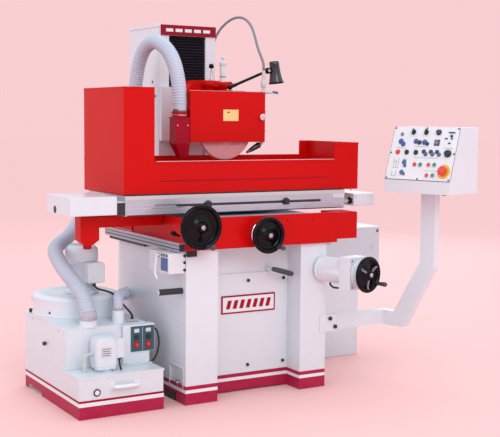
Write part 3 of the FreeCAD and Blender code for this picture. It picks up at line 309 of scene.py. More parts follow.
# ---------------------------------------------------------------- piece building
class Piece:
    """Collects solids, in millimetres, into one object."""

    def __init__(self, name, place=None):
        self.name = name
        self.mesh = bmesh.new()
        self.materials = []
        self.place = place or Matrix.Identity(4)

    def skin(self, rings, material, loop=False):
        """Faces between rings of equal length, with a cap on each end unless they close in a loop."""
        if material not in self.materials:
            self.materials.append(material)
        index = self.materials.index(material)
        rows = [[self.mesh.verts.new(metres(self.place @ Vector(point))) for point in ring] for ring in rings]
        size = len(rows[0])
        pairs = list(zip(rows, rows[1:])) + ([(rows[-1], rows[0])] if loop else [])
        faces = [self.mesh.faces.new((low[k], low[(k + 1) % size], high[(k + 1) % size], high[k]))
                 for low, high in pairs for k in range(size)]
        if not loop:
            faces += [self.mesh.faces.new(rows[0][::-1]), self.mesh.faces.new(rows[-1])]
        for face in faces:
            face.material_index = index
            face.smooth = True
        return self

    def box(self, low, high, material):
        (x0, y0, z0), (x1, y1, z1) = low, high
        return self.skin([[(x0, y0, z), (x1, y0, z), (x1, y1, z), (x0, y1, z)] for z in (z0, z1)], material)

    def boxes(self, material, *corners):
        """Boxes of one material, each given by its lowest and its highest corner."""
        for low, high in zip(corners[::2], corners[1::2]):
            self.box(low, high, material)

    def slats(self, low, high, step, count, material):
        """Equal boxes in a row, each a step on from the last."""
        for k in range(count):
            self.box(Vector(low) + Vector(step) * k, Vector(high) + Vector(step) * k, material)

    def prism(self, outline, axis, start, end, material):
        """An outline in the plane across an axis, pulled from start to end along it."""
        def lay(point, depth):
            a, b = point
            return {"x": (depth, a, b), "y": (a, depth, b), "z": (a, b, depth)}[axis]
        return self.skin([[lay(point, depth) for point in outline] for depth in (start, end)], material)

    def lathe(self, profile, at, material, axis=UP, steps=48):
        """(radius, height) pairs turned about an axis through a point."""
        turn = Vector(UP).rotation_difference(Vector(axis)).to_matrix()
        return self.skin([[Vector(at) + turn @ (way * max(radius, 0.001) + Vector((0, 0, height)))
                           for way in around(steps)] for radius, height in profile], material)

    def rod(self, start, end, radius, material, steps=24, edge=0.0):
        way = Vector(end) - Vector(start)
        long = way.length
        profile = [(radius, 0), (radius, long)]
        if edge:
            profile = [(radius - edge, 0), (radius, edge), (radius, long - edge), (radius - edge, long)]
        return self.lathe(profile, start, material, way.normalized(), steps)

    def ball(self, at, radius, material):
        slopes = [math.pi * k / 14 for k in range(15)]
        profile = [(radius * math.sin(a), -radius * math.cos(a)) for a in slopes]
        return self.lathe(profile, at, material, steps=28)

    def tube(self, points, radius, material, sides=14):
        """A round bar along points that are rounded by a spline."""
        line = spline_line(points) if len(points) > 2 else [metres(point) for point in points]
        return self.skin([[spot * 1000 + (side * way.x + other * way.y) * radius for way in around(sides)]
                          for spot, side, other in crossways(line)], material)

    def screw(self, at, way, radius, material, tall=4):
        """A cap screw's head with a socket."""
        return self.lathe([(radius * wide, tall * high) for wide, high in (
            (0.9, 0), (1, 0.3), (1, 0.8), (0.85, 1), (0.5, 1), (0.45, 0.4), (0, 0.4))], at, material, way, 20)

    def screws(self, xs, ys, zs, way, radius, material, tall=4):
        """The same at every crossing of the given places."""
        for at in itertools.product(xs, ys, zs):
            self.screw(at, way, radius, material, tall)

    def done(self, body=None, bevel=0.0, replaces=(), slot=None):
        bmesh.ops.remove_doubles(self.mesh, verts=self.mesh.verts, dist=2e-6)
        bmesh.ops.recalc_face_normals(self.mesh, faces=self.mesh.faces)
        data = bpy.data.meshes.new(self.name)
        self.mesh.to_mesh(data)
        self.mesh.free()
        for material in self.materials:
            data.materials.append(material)
        data.set_sharp_from_angle(angle=math.radians(35))
        made = bpy.data.objects.new(self.name, data)
        scene.collection.objects.link(made)
        if bevel:
            soften(made, bevel)
        if body:
            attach(made, body)
        if replaces:
            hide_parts(*replaces)
        return made


def soften(made, width):
    edge = made.modifiers.new("rounded_edges", "BEVEL")
    edge.width = width * 0.001
    edge.segments = 2
    edge.limit_method = "ANGLE"
    edge.angle_limit = math.radians(38)
    edge.harden_normals = True
    edge.use_clamp_overlap = True


def dress(material, bevel, *names):
    """Keeps CAD nodes, with a better material and softened edges."""
    for name in names:
        node = NODES[name]
        node.data.materials.clear()
        node.data.materials.append(material)
        if bevel:
            join = node.modifiers.new("joined_faces", "WELD")
            join.merge_threshold = 1e-5
            soften(node, bevel)


def turned_place(x, y, z, degrees):
    return Matrix.Translation((x, y, z)) @ Matrix.Rotation(math.radians(degrees), 4, "Z")


def offset_ring(outline, reach):
    """An outline, counter-clockwise, moved outwards by the same distance on every side."""
    moved = []
    for before, here, after in zip(outline[-1:] + outline[:-1], outline, outline[1:] + outline[:1]):
        first = (Vector(here) - Vector(before)).normalized()
        second = (Vector(after) - Vector(here)).normalized()
        normal_one = Vector((first.y, -first.x))
        normal_two = Vector((second.y, -second.x))
        moved.append(Vector(here) + (normal_one + normal_two) * (reach / (1 + normal_one.dot(normal_two))))
    return moved


def band(piece, outline, low, high, material, proud=0.9):
    """A painted band round an outline: a thin closed strip just proud of the surface."""
    outer, inner = offset_ring(outline, proud), offset_ring(outline, -0.3)
    rings = [[(*p, low) for p in inner], [(*p, low) for p in outer], [(*p, high) for p in outer],
             [(*p, high) for p in inner]]
    piece.skin(rings, material, loop=True)


def strip(piece, x0, y0, x1, y1, low, high, material, proud=0.9):
    """The same for one straight stretch, on the side to the right of its direction."""
    way = Vector((x1 - x0, y1 - y0)).normalized()
    out = Vector((way.y, -way.x)) * proud
    piece.skin([[(x0, y0, z), (x1, y1, z), (x1 + out.x, y1 + out.y, z), (x0 + out.x, y0 + out.y, z)]
                for z in (low, high)], material)


# ---------------------------------------------------------------- floor, world and lights
def make_studio():
    paint = finish("floor_paint", (0.94, 0.575, 0.56), 0.7, vary=0.004, patch=1.2, spec=0.1)
    floor = Piece("studio_floor").skin(
        [[way * 60000 + Vector((0, 0, z)) for way in around(48)] for z in (-60, -0.4)], paint)
    floor.done()
    world = bpy.data.worlds.new("studio")
    world.use_nodes = True
    tree = world.node_tree
    where = add_node(tree, "TexCoord", {}, "Generated")
    height = add_node(tree, "SeparateXYZ", {"Vector": where}, "Z")
    rise = add_node(tree, "MapRange", {"From Min": 0.12, "From Max": 0.26, "Value": height})
    dome = add_node(tree, "Mix", {"A": (0.83, 0.545, 0.565, 1), "B": (0.88, 0.92, 0.98, 1), "Factor": rise},
        "Result", data_type="RGBA")
    set_inputs(tree, tree.nodes["Background"], {"Color": dome, "Strength": 1.14})
    scene.world = world
    # name, place, aim and width in metres, power in watts
    for name, place, aim, size, power in (
            ("key", (-1.2, -6.0, 4.4), (0.1, 0, 0.8), 3.2, 95),
            ("fill", (-6.0, -1.5, 2.8), (-0.3, 0, 0.9), 3.6, 24),
            ("top", (1.4, 0.6, 5.4), (0.1, 0.1, 0.8), 3.2, 24),
            ("back", (4.5, 5.0, 3.2), (0, 0.2, 1.0), 3.0, 40)):
        data = bpy.data.lights.new(name, "AREA")
        data.shape = "DISK"
        data.size = size
        data.energy = power
        lamp = bpy.data.objects.new(name, data)
        lamp.location = place
        lamp.rotation_euler = (Vector(aim) - Vector(place)).to_track_quat("-Z", "Y").to_euler()
        scene.collection.objects.link(lamp)


make_studio()


# ---------------------------------------------------------------- machine base and column
# outlines on the floor, counter-clockwise
BASE = [(-400, -386), (-228, -386), (-228, -263), (246, -263), (246, -386), (400, -386), (400, 386), (230, 386),
    (230, 800), (-230, 800), (-230, 386), (-400, 386)]
TANK = [(-935, -379), (-513, -379), (-513, 354), (-935, 354)]


def make_base():
    dress(WHITE, 3, "base_casting", "valve_box", "elevating_housing", "column_casting")
    dress(WHITE, 1, "recess_cover")
    dress(DARK, 1.5, "machine_screws", "levelling_pads")
    bands = Piece("base_bands")
    for low, high, tone in ((45, 58, BAND), (58.5, 74.5, PLATE_AND_PAINTED_HIGHLIGHT), (75, 93, BAND)):
        band(bands, BASE, low, high, tone)
    for run in ((-400, -286, -400, -386), (-228, -386, -228, -263), (-228, -263, 246, -263),
            (246, -263, 246, -386), (400, -386, 400, -286), (400, 286, 400, 386), (-400, 386, -400, 286),
            (-230, 800, -230, 386), (230, 386, 230, 800), (400, 386, 230, 386), (-230, 386, -400, 386),
            (230, 800, -230, 800), (-400, -386.5, -228, -386.5), (246, -386.5, 400, -386.5)):
        strip(bands, *run, 2, 45.5, BAND)
    bands.done("machine", slot="red_paint")

    trim = Piece("base_trim")
    trim.boxes(PALE, (-206, -269.2, 598), (235, -268.2, 600.5), (-206, -269.2, 94.5), (235, -268.2, 97),
        (-206, -269.2, 95), (-203.5, -268.2, 600))
    trim.boxes(DARK, (-210, -270, 6), (240, -268.2, 8), (399.6, -372, 407), (403, -370, 541))
    trim.done("machine", slot="white_paint")

    badge = Piece("base_badge")
    for left in range(-120, 146, 38):
        badge.prism([(left, 424), (left + 22, 424), (left + 34, 467), (left + 12, 467)], "y", -273.6, -272.4,
            CARMINE_AND_PAINTED_SHADE)
    badge.box((-145, -272, 400), (166, -268.1, 491), CARMINE_AND_PAINTED_SHADE)
    badge.box((-137, -272.8, 408), (158, -271.8, 483), PLATE_AND_PAINTED_HIGHLIGHT)
    badge.done("machine", 0.6, slot="red_paint")

    pocket = Piece("side_pocket_frame")
    pocket.boxes(WHITE, (-403, -362, 72), (-399.5, -214, 77), (-403, -362, 175), (-399.5, -214, 180),
        (-403, -362, 77), (-399.5, -357, 175), (-403, -219, 77), (-399.5, -214, 175))
    pocket.lathe([(11, 0), (15, 2), (15, 9), (11, 12), (6, 12), (5, 16), (0, 16)], (-391, -300, 96), STEEL,
        LEFT, 24)
    pocket.done("machine", 0.8, slot="white_paint")

    bar = Piece("lifting_bar_grip")
    bar.lathe([(13, -0.5), (14.9, 1), (14.9, 93), (14, 94), (14, 96), (14.9, 97), (14.9, 121), (12.5, 124),
        (0, 124)], (-400.5, -345, 550), DARK, LEFT, 36)
    bar.lathe([(11, 0), (12.4, 0.4), (9, 1), (0, 1)], (-524.2, -345, 550), PALE, LEFT, 36)
    bar.done("machine", replaces=["lifting_bar"], slot="bare_steel")

    valve = Piece("valve_box_fittings")
    for front in (-372, -346, -322):
        valve.box((-492.2, front, 717), (-491, front + 15, 731), DARK)
    valve.screws((-409,), (-386,), (655, 690, 722), FRONT, 7, DARK, 5)
    valve.rod((-445, -300, 736), (-445, -300, 745), 13, STEEL, edge=1.5)
    valve.box((-491.2, -380, 646), (-489.9, -298, 734), PALE)
    valve.box((-492, -376, 650), (-491, -302, 712), INK)
    valve.done("machine", 0.5, slot="white_paint")

    limit = Piece("limit_switch")
    limit.box((-399, -404, 717), (-351, -385.6, 766), DARK)
    limit.box((-395, -405.4, 721), (-355, -403, 762), RUBBER_AND_PAINTED_SHADOW)
    limit.done("machine", 1.5, slot="black_plastic")

    pins = Piece("right_leg_pins")
    pins.lathe([(6, 0), (6, 5), (4, 6), (4, 26), (8, 27), (8, 34), (5, 36), (0, 36)], (408, -350, 742), STEEL,
        DOWN, 24)
    pins.box((398, -360, 726), (440, -338, 742), PALE)
    pins.done("saddle", 0.8, slot="bare_steel")

    reverse = Piece("reverse_lever_grip")
    reverse.lathe([(12, 0), (13.5, 3), (13.5, 10), (11, 12), (11, 62), (9, 66), (0, 66)], (122, -268.5, 618),
        WHITE, FRONT, 28)
    at, way = Vector((122, -335, 618)), Vector((109, 0, -31)).normalized()
    reverse.lathe([(0, -14), (8, -13), (11.5, -8), (12.4, 0), (13, 32), (13, 94), (12, 108), (9, 112.6),
        (0, 113.3)], at, SLATE, way, 32)
    for along in range(24, 90, 13):
        reverse.lathe([(13, 0), (13.7, 1.5), (13.7, 4), (13, 5.5)], at + way * along, SLATE, way, 32)
    reverse.done("reverse_lever", replaces=["table_reverse_lever"], slot="black_plastic")

    speed = Piece("speed_lever_blade")
    speed.lathe([(9, 0), (10, 1), (10, 10), (8, 13), (0, 14)], (-490.5, -284, 720), STEEL, LEFT, 28)
    speed.tube([(-504, -284, 728), (-506, -284, 706), (-508, -282, 672), (-512, -280, 640), (-508, -288, 616),
        (-505, -297, 609)], 6, PLATE_AND_PAINTED_HIGHLIGHT)
    speed.done("speed_lever", replaces=["table_speed_lever"], slot="bright_steel")


def make_column():
    dress(WHITE, 1.5, "column_top_cover")
    dress(STEEL, 0.5, "elevating_screw")
    sign = Piece("column_sign")
    sign.slats((-134, 374.8, 1826), (-92, 375.8, 1843), (56, 0, 0), 5, PLATE_AND_PAINTED_HIGHLIGHT)
    sign.box((-166, 376.2, 1806.4), (169.5, 377.6, 1862.6), CARMINE_AND_PAINTED_SHADE)
    sign.box((-162, 375.6, 1810), (165.5, 376.6, 1859), SIGN)
    sign.done("machine", 0.5, slot="red_paint")
    bits = Piece("column_fittings")
    for y, z in ((464, 1559), (427, 1482), (652, 1546)):
        bits.lathe([(7, 0), (7, 2), (3, 2), (3, 0.5), (0, 0.5)], (-172, y, z), DARK, LEFT, 20)
    bits.screws((-141, 141), (386,), (870, 1110), FRONT, 7, STEEL, 4)
    bits.screws((-108, 108), (766,), (920, 1300, 1680), BACK, 6, STEEL, 3)
    bits.slats((-80, 765.8, 1420), (80, 768.4, 1428), (0, 0, 20), 9, SLATE)
    bits.screws((-138, 138), (802,), (164, 546), BACK, 6, STEEL, 3)
    bits.slats((-100, 801.8, 380), (100, 804.2, 387), (0, 0, 18), 8, SLATE)
    bits.screws((175.5,), (495, 675), (875, 1225), RIGHT, 6, STEEL, 3)
    for x in (-80, 80):
        bits.lathe([(22, 0), (22, 5), (13, 8), (13, 14), (0, 14)], (x, 600, 1862.6), STEEL, steps=6)
    bits.boxes(PALE, (-120, 763.4, 900), (120, 766, 1700), (-150, 799.4, 150), (150, 802, 560), (174, 480, 860),
        (176, 690, 1240))
    bits.done("machine", 0.5, slot="white_paint")
    folds = Piece("upper_pleats")
    low, high, count = 1532, 1805, 18
    step = (high - low) / count
    outline = [(401.8, low)]
    for k in range(count):
        outline += [(y, low + step * (k + share)) for y, share in (
            (388.5, 0.42), (387.5, 0.5), (388.5, 0.58), (401, 0.93), (401.8, 1))]
    outline += [(408.5, high), (408.5, low)]
    folds.skin([[(x, y, z) for y, z in outline] for x in (-108, 108)], PLEAT)
    made = folds.done(replaces=["column_bellows"], slot="black_rubber")
    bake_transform(made)
    lower = Piece("lower_way_cover")
    for k in range(4):
        lower.box((-108, 388.5 + 4 * k, 1070 + 44 * k), (108, 408, 1116 + 44 * k), WHITE)
    made = lower.done(bevel=0.8, slot="white_paint")
    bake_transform(made)


# ---------------------------------------------------------------- handwheels
UPRIGHT = Matrix.Rotation(math.radians(90), 4, "X")  # turns a wheel's own axis from up to the front
LIFT_HUB, LIFT_YAW = (378, -386, 612), 15            # the elevating gear's flange on the right leg


def handwheel(name, node, at, yaw, across, body, dial=0, bumps=False):
    outer = across / 2
    wheel = Piece(name, turned_place(*at, yaw) @ UPRIGHT)
    wheel.lathe([(12, -27), (28, -26), (30, -6), (outer - 24, -15), (outer - 16, -15.5), (outer - 9, -15),
        (outer - 4, -12.5), (outer - 0.8, -8), (outer, -3), (outer - 0.8, 2), (outer - 4, 6.5),
        (outer - 9, 8.5), (outer - 14, 7.5), (outer - 18, 4), (outer - 21, -1), (outer - 24, -7),
        (outer - 30, -10), (outer * 0.55, -7.5), (34, -1), (27, 5), (24, 10), (22, 14), (19, 15.5), (16, 16),
        (0, 16)], (0, 0, 0), BLACK, steps=72)
    wheel.lathe([(9, 0), (9, 1), (12, 2), (12, 5), (10, 6.5), (6, 6.5), (5, 4), (0, 4)], (0, 0, 15), STEEL,
        steps=6)
    for way in around(3, 0.5) if bumps else ():
        wheel.tube([way * reach + Vector((0, 0, rise)) for reach, rise in ((26, 2), (42, -2), (60, -5),
            (outer - 16, 0))], 6, GREYHOSE)
    if dial:
        wheel.lathe([(dial - 2, -30), (dial, -32), (dial, -54), (dial + 3, -56), (dial + 3, -61),
            (dial - 6, -63), (12, -63)], (0, 0, 0), BRIGHT, steps=72)
        for k, way in enumerate(around(60)):
            side = Vector((-way.y, way.x, 0)) / 2
            outline = [way * reach + side * s for reach, s in ((dial + 0.35, -1), (dial + 0.35, 1),
                (dial - 0.65, 1), (dial - 0.65, -1))]
            wheel.prism([point.xy for point in outline], "z", -33, -40 if k % 5 else -46, DARK)
    wheel.rod((0, 0, -84), (0, 0, -60 if dial else -26), 12, STEEL)
    return wheel.done(body, replaces=[node], slot="black_paint")


def crank_grip(name, node, at, yaw, radius, body):
    grip = Piece(name, turned_place(*at, yaw) @ UPRIGHT)
    grip.lathe([(radius * 0.62, 0), (radius * 0.66, 5), (radius * 0.6, 6)], (0, 0, 0), STEEL, steps=28)
    grip.lathe([(radius * 0.78, 5), (radius * 0.86, 8), (radius * 0.76, 19), (radius * 0.84, 32),
        (radius * 0.98, 44), (radius, 50), (radius * 0.92, 56), (radius * 0.7, 60), (radius * 0.35, 61.8),
        (0, 62)], (0, 0, 0), SLATE, steps=32)
    grip.done(body, replaces=[node], slot="black_plastic")


def make_handwheels():
    handwheel("table_wheel_dish", "table_handwheel", (-363, -470, 862), 0, 215, "table_wheel")
    crank_grip("table_wheel_crank", "table_crank_grip", (-335, -479, 772), 0, 13, "table_grip")
    handwheel("cross_wheel_dish", "cross_handwheel", (5, -470, 808), 0, 180, "cross_wheel", dial=62)
    crank_grip("cross_wheel_crank", "cross_crank_grip", (50, -479, 750), 0, 12, "cross_grip")
    hub = turned_place(*LIFT_HUB, LIFT_YAW)
    handwheel("lift_wheel_dish", "elevating_handwheel", hub @ Vector((0, -296, 0)), LIFT_YAW, 180, "lift_wheel",
        bumps=True)
    crank_grip("lift_wheel_crank", "elevating_crank_grip", hub @ Vector((52, -305, -46)), LIFT_YAW, 12,
        "lift_grip")
    dial = Piece("lift_dial", hub @ UPRIGHT)
    dial.lathe([(50, 0), (63, 1.5), (65, 4), (65, 12), (62, 13.5), (62, 18), (65, 19.5), (65, 36), (63, 39),
        (13, 40)], (0, 0, 231), PALE, steps=64)
    for way in around(50):
        dial.tube([way * 65.2 + Vector((0, 0, 252)), way * 65.2 + Vector((0, 0, 260))], 0.5, DARK, 6)
    dial.screws((-49, 49), (-66, 66), (230,), UP, 6, STEEL, 5)
    dial.tube([(-10, -64, 60), (-12, -76, 62), (-24, -82, 90), (-44, -80, 118), (-52, -76, 158)], 5, RUBBER_AND_PAINTED_SHADOW)
    dial.done("machine", slot="white_paint")


make_base()
make_column()
make_handwheels()


# ---------------------------------------------------------------- saddle, table and splash guard
def make_saddle():
    dress(RED, 4, "saddle_apron")
    dress(RAIL, 1.5, "saddle_casting", "cross_rail")
    dress(RED, 1.2, "coolant_trough")
    trim = Piece("saddle_trim")
    trim.screws((-380, -290, 150, 300, 420), (-406,), (872,), FRONT, 5, CARMINE_AND_PAINTED_SHADE, 2.5)
    trim.lathe([(19, 0), (20, -2), (20, -18), (17, -20)], (-797, -140, 768), CARMINE_AND_PAINTED_SHADE, steps=24)
    trim.lathe([(6, 0), (6, 20), (11, 24), (13, 34), (11, 44), (6, 48), (0, 48)], (-449, -410, 820), BLACK,
        (-0.8, -0.1, 0.35), 24)
    trim.boxes(RED, (-846, -177, 900.5), (-420, -173, 903), (-846, -107, 900.5), (-420, -103, 903),
        (-846, -177, 900.5), (-842, -103, 903), (-417, 196, 786), (-411.4, 470, 898))
    trim.box((-445.5, -404, 783.2), (-412, 484, 785), BRIGHT)
    trim.boxes(SLATE, (-444.2, -396, 751), (-442.6, 482, 756), (-444.2, -396, 768), (-442.6, 482, 771))
    trim.boxes(DARK, (-440, -8, 726), (-412, 430, 738.8), (-444, -400.6, 744), (-414, -399.6, 779))
    trim.done("saddle", 0.6, slot="red_paint")


def make_table():
    dress(GROUND, 1.5, "table_casting")
    dress(WHITE, 2.5, "table_end_covers")
    dress(GROUND, 1, "magnetic_chuck")
    trim = Piece("table_strips")
    trim.screws((-690, -560, -180, 40, 330, 540), (-291,), (926,), FRONT, 4.5, STEEL, 2)
    trim.box((-669, -292.4, 985), (575, -290.6, 1003), CREAM)
    trim.boxes(DARK, (-400, -291.6, 948.6), (425, -285, 955), (-706, -294, 918), (-673, -292.6, 970))
    trim.boxes(BRIGHT, (-669, -292, 942), (575, -290.6, 944.5), (-669, -292, 960), (575, -290.6, 961.8))
    trim.box((-660, -291.8, 909.2), (566, -290.6, 914), RUBBER_AND_PAINTED_SHADOW)
    trim.box((-709, -293, 914), (-669.5, -252, 974), SLATE)
    trim.box((500, -292.6, 962), (572, -290.6, 984), PALE)
    trim.done("table", 0.5, slot="ground_iron")
    covers = Piece("cover_details")
    covers.lathe([(17, -0.5), (18, 0.8), (14, 1.4), (13, 0.6), (0, 0.6)], (-939, -98, 938), DARK, LEFT, 32)
    covers.screws((672, 770), (-261,), (960,), FRONT, 4.5, STEEL, 2)
    covers.box((-939.8, -288, 996), (-709.5, -285, 1003.8), PLATE_AND_PAINTED_HIGHLIGHT)
    covers.boxes(PALE, (-936, -291.9, 921), (-712, -290.8, 923), (655, -262.2, 915), (795.8, -260.8, 919))
    covers.done("table", 0.5, slot="white_paint")
    dogs = Piece("dog_blocks")
    for x in (-234, 212):
        dogs.box((x - 16, -302, 938), (x + 16, -291.5, 966), DARK)
        dogs.lathe([(14, 0), (15, 1), (15, 4), (13, 5.4), (6, 5.4), (6, 4), (0, 4)], (x, -302, 954), DARK,
            FRONT, 8)
        dogs.box((x - 6, -300, 966), (x + 6, -293, 972), DARK)
    dogs.done("table", 0.8, replaces=["table_dogs"], slot="bright_steel")
    knob = Piece("star_knob_grip")
    at = (575.5, -275, 943)
    knob.lathe([(9, 0), (9, 6), (7, 7), (7, 38)], at, STEEL, RIGHT, 24)
    lobes = [way * (16 + 4.5 * math.cos(5 * TURN * k / 60)) for k, way in enumerate(around(60))]
    knob.skin([[Vector(at) + Vector((along, lobe.x * swell, lobe.y * swell)) for lobe in lobes]
        for along, swell in ((36, 0.78), (39, 0.94), (45, 1), (51, 0.94), (54.5, 0.78), (55, 0.3))], BLACK)
    knob.done("table_knob", replaces=["star_knob"], slot="black_plastic")
    poles = Piece("chuck_poles")
    poles.slats((-241.6, -168, 1084.9), (-238.4, 68, 1085.12), (16, 0, 0), 31, BRASS)
    for x in (-230, 230):
        poles.box((x - 14, -183, 1010), (x + 14, -176.8, 1030), STEEL)
        poles.screw((x, -181, 1020), FRONT, 6, STEEL, 4)
    poles.box((-254.4, -170, 1004), (-253.9, 70, 1012), DARK)
    poles.box((-40, -178.6, 1028), (40, -176.9, 1056), STICKER)
    poles.box((-254, -184, 1060), (-120, -177, 1080), STEEL)
    poles.done("table", 0.3, slot="bare_steel")


def make_guard():
    dress(RED, 1.6, "splash_guard")
    # Folds of the splash guard, with painted light on it: a highlight on the top hem, shade in the crease and
    # shadow under the lower edge.
    trim = Piece("guard_folds_and_painted_light")
    for x0, x1, z in ((-669, -512, 1509), (519, 669, 1247)):
        trim.box((x0, -277.6, z - 9), (x1, -275.9, z + 0.7), RED)
        trim.box((x0, -271.9, z - 9), (x1, -270.6, z + 0.7), RED)
    for x, z in ((-669, 1509), (669, 1247)):
        out = math.copysign(1.6, x)
        trim.box((min(x, x + out), -276, z - 9), (max(x, x + out), 212, z + 0.7), RED)
    for x in (-600, -430, -200, 40, 280, 520, 620):
        trim.lathe([(5, 0), (5, 1.4), (2.5, 2.4), (0, 2.6)], (x, -283, 1000), STEEL, FRONT, 16)
    trim.boxes(RED, (-512, -279, 1150), (519, -275.9, 1161.6), (-512, -273, 1150), (519, -270.4, 1161.6),
        (-669, 207.6, 1158), (669, 213, 1170.6), (-513.8, -276, 1162), (-511.6, -268, 1509),
        (518.6, -276, 1162), (520.8, -268, 1247))
    # painted highlight: a white strip on the front wall's top stands for the light caught by its rolled hem
    trim.box((-503, -277.6, 1161), (515, -270.6, 1163), PLATE_AND_PAINTED_HIGHLIGHT)
    # painted shade: a darker carmine line stands for the shade in the front wall's pressed crease
    trim.box((-487, -277.2, 1066), (501, -275.8, 1072), CARMINE_AND_PAINTED_SHADE)
    # painted shadow: black strips along the guard's lower edge stand for the shadow in the gap above the table
    trim.boxes(RUBBER_AND_PAINTED_SHADOW, (-668.6, -281, 1003.4), (574, -275.4, 1008.4), (-664, -289, 1003.2), (570, -276, 1004.2))
    trim.done("table", 0.8, slot="red_paint")


# ---------------------------------------------------------------- wheel head
def make_head():
    dress(RED, 2, "head_housing", "wheel_hood")
    dress(RED, 2.4, "hood_door")
    dress(CARMINE_AND_PAINTED_SHADE, 1.2, "dust_nozzle")
    dress(STEEL, 1, "wheel_flange", "spindle_shaft")
    bosses = Piece("head_bosses")
    for x, z, radius, front in ((5, 1545, 17, 66), (78, 1538, 20, 40)):
        bosses.lathe([(radius, 0), (radius, 190 - front), (radius - 3, 196 - front), (radius - 7, 197 - front),
            (radius - 8, 194 - front), (0, 194 - front)], (x, 203, z), RED, FRONT, 40)
    for x, y in ((97, -40), (120, -12), (60, -50)):
        bosses.box((x - 12, y - 6, 1502.8), (x + 12, y + 6, 1508), DARK)
    bosses.screws((-96, 128), (200,), (1280, 1420), FRONT, 9, DARK, 5)
    bosses.done("wheel_head", 1.2, slot="red_paint")
    back = Piece("head_slide_cover")
    back.screws((157,), (356.6,), (1262, 1512), FRONT, 5, STEEL, 3)
    back.box((-169.4, 356.6, 1243.6), (169.4, 384.8, 1531.2), WHITE)
    back.done("wheel_head", 1.2, slot="white_paint")
    cup = Piece("head_oiler")
    cup.lathe([(19, 0), (19, 4), (16.4, 6), (16, 94), (12, 96)], (147, 255, 1556), PLATE_AND_PAINTED_HIGHLIGHT, steps=40)
    cup.lathe([(16.6, 0), (17.6, 1), (17.6, 5), (16.6, 6)], (147, 255, 1586), GREYHOSE, steps=40)
    cup.lathe([(17, 0), (19, 1), (19, 14), (16, 18), (8, 20), (5, 24), (5, 36), (8, 40), (7, 47), (0, 49)],
        (147, 255, 1649), PALE, steps=40)
    cup.box((118, 233, 1530), (166, 277, 1556), RED)
    cup.done("wheel_head", 1, slot="bare_steel")

    lever = Piece("clamp_lever_knob")
    lever.lathe([(14, 0), (14, 3), (7, 5), (5, 10), (4, 62), (5, 66)], (63, 230, 1567), STEEL, steps=24)
    lever.lathe([(6, -13), (10, -11.5), (13.6, -6), (14, 0), (12.6, 6), (8.6, 11), (4, 12.8), (0, 13)],
        (63, 230, 1643), BLACK, steps=32)
    lever.done("clamp_lever", replaces=["head_clamp_lever"], slot="bright_steel")

    door = Piece("door_fittings")
    door.lathe([(17.4, 0), (18, 2), (18, 14), (16, 17), (11, 18), (0, 18)], (181, -95.8, 1375), BRIGHT, FRONT,
        40)
    door.lathe([(3.4, 0), (3.4, 252)], (-229, -96.4, 1249), RED, steps=16)
    door.boxes(STICKER, (-44, -97.4, 1354), (44, -95.9, 1411), (-4, -97.8, 1395), (24, -97.2, 1399))
    door.box((-22, -97.8, 1394), (-8, -97.2, 1401), SLATE)
    door.done("door", 0.5, slot="bright_steel")
    hood = Piece("hood_folds")
    hood.screws((-214, 190), (-60, -5), (1503,), UP, 6, DARK, 3)
    hood.lathe([(20, 0), (20, 3), (17, 5)], (43, -8, 1503), BLACK, steps=32)
    hood.box((-229, -84, 1503), (203, -80.5, 1504.6), PALE)
    hood.box((-229, 9, 1496), (203, 15.4, 1503.8), RED)
    hood.done("wheel_head", 0.5, slot="red_paint")

    duct = Piece("nozzle_folds")
    for z in (1240, 1364):
        duct.skin([[(x, y, up) for x, y in ((-311, -95), (-231.8, -95), (-231.8, -23), (-311, -23))]
            for up in (z, z + 3)], CARMINE_AND_PAINTED_SHADE)
    duct.lathe([(40.6, 0), (41.6, 1), (41.6, 4), (40.6, 5)], (-272, -60, 1378), STEEL, steps=40)
    duct.lathe([(38.5, 0), (40, 1), (40, 9), (38.5, 10)], (-272, -60, 1402), STEEL, steps=40)
    for x in (-300, -242):
        duct.lathe([(4, 0), (4, 1.5), (2, 2.5), (0, 2.5)], (x, -94.2, 1330), STEEL, FRONT, 14)
    duct.box((-318, -65, 1403), (-309, -55, 1411), STEEL)
    duct.done("wheel_head", 0.4, slot="red_paint")

    pipe = Piece("coolant_valve")
    pipe.lathe([(13, 0), (14, 1), (14, 14), (10, 15), (9, 30), (14, 32), (15, 34), (15, 64), (13, 67), (9, 68),
        (9, 84), (11, 85), (11, 89), (9, 90), (9, 100), (11, 101), (11, 105), (8, 107), (8, 117), (6, 118)],
        (214, -60, 1497), CREAM, steps=32)
    pipe.lathe([(11, 0), (11, 12), (7, 13), (7, 44)], (222, -60, 1505), CREAM, (1, 0, -0.05), 20)
    pipe.tube([(258, -60, 1503), (270, -60, 1505), (288, -61, 1504), (300, -62, 1501)], 6.4, BLUE)
    pipe.tube([(214, -60, 1500), (214, -60, 1440), (214, -60, 1350), (214, -60, 1290), (214, -60, 1262),
        (206, -60, 1240), (192, -60, 1232)], 8, STEEL)
    way = Vector((math.sin(math.radians(-118)), 0, math.cos(math.radians(-118))))
    pipe.lathe([(8, -4), (15, 0), (16, 4), (14, 20), (15, 22), (12.5, 38), (13.5, 40), (10.5, 56), (11, 58),
        (8, 70), (6, 84), (3, 84), (3, 80)], (190, -60, 1232), LAMPBLACK, way, 32)
    for z in (1300, 1400):
        pipe.box((203.2, -72, z), (224, -48, z + 8), STEEL)
    pipe.box((203.4, -76, 1420), (208, -44, 1500), STEEL)
    pipe.done("wheel_head", 0.4, replaces=["coolant_pipe"], slot="brass_fitting")

    wheel = Piece("abrasive_wheel")
    at = (-12, -50, 1311.5)
    wheel.lathe([(76, -16.6), (148, -16), (151.4, -14.5), (152.5, -12), (152.5, 12), (151.4, 14.5), (148, 16),
        (76, 16.6)], at, ABRASIVE, FRONT, 96)
    wheel.lathe([(74, -17), (76, -17), (76, 17), (74, 17)], at, BLOTTER, FRONT, 72)
    wheel.done("spindle", replaces=["grinding_wheel"], slot="abrasive")


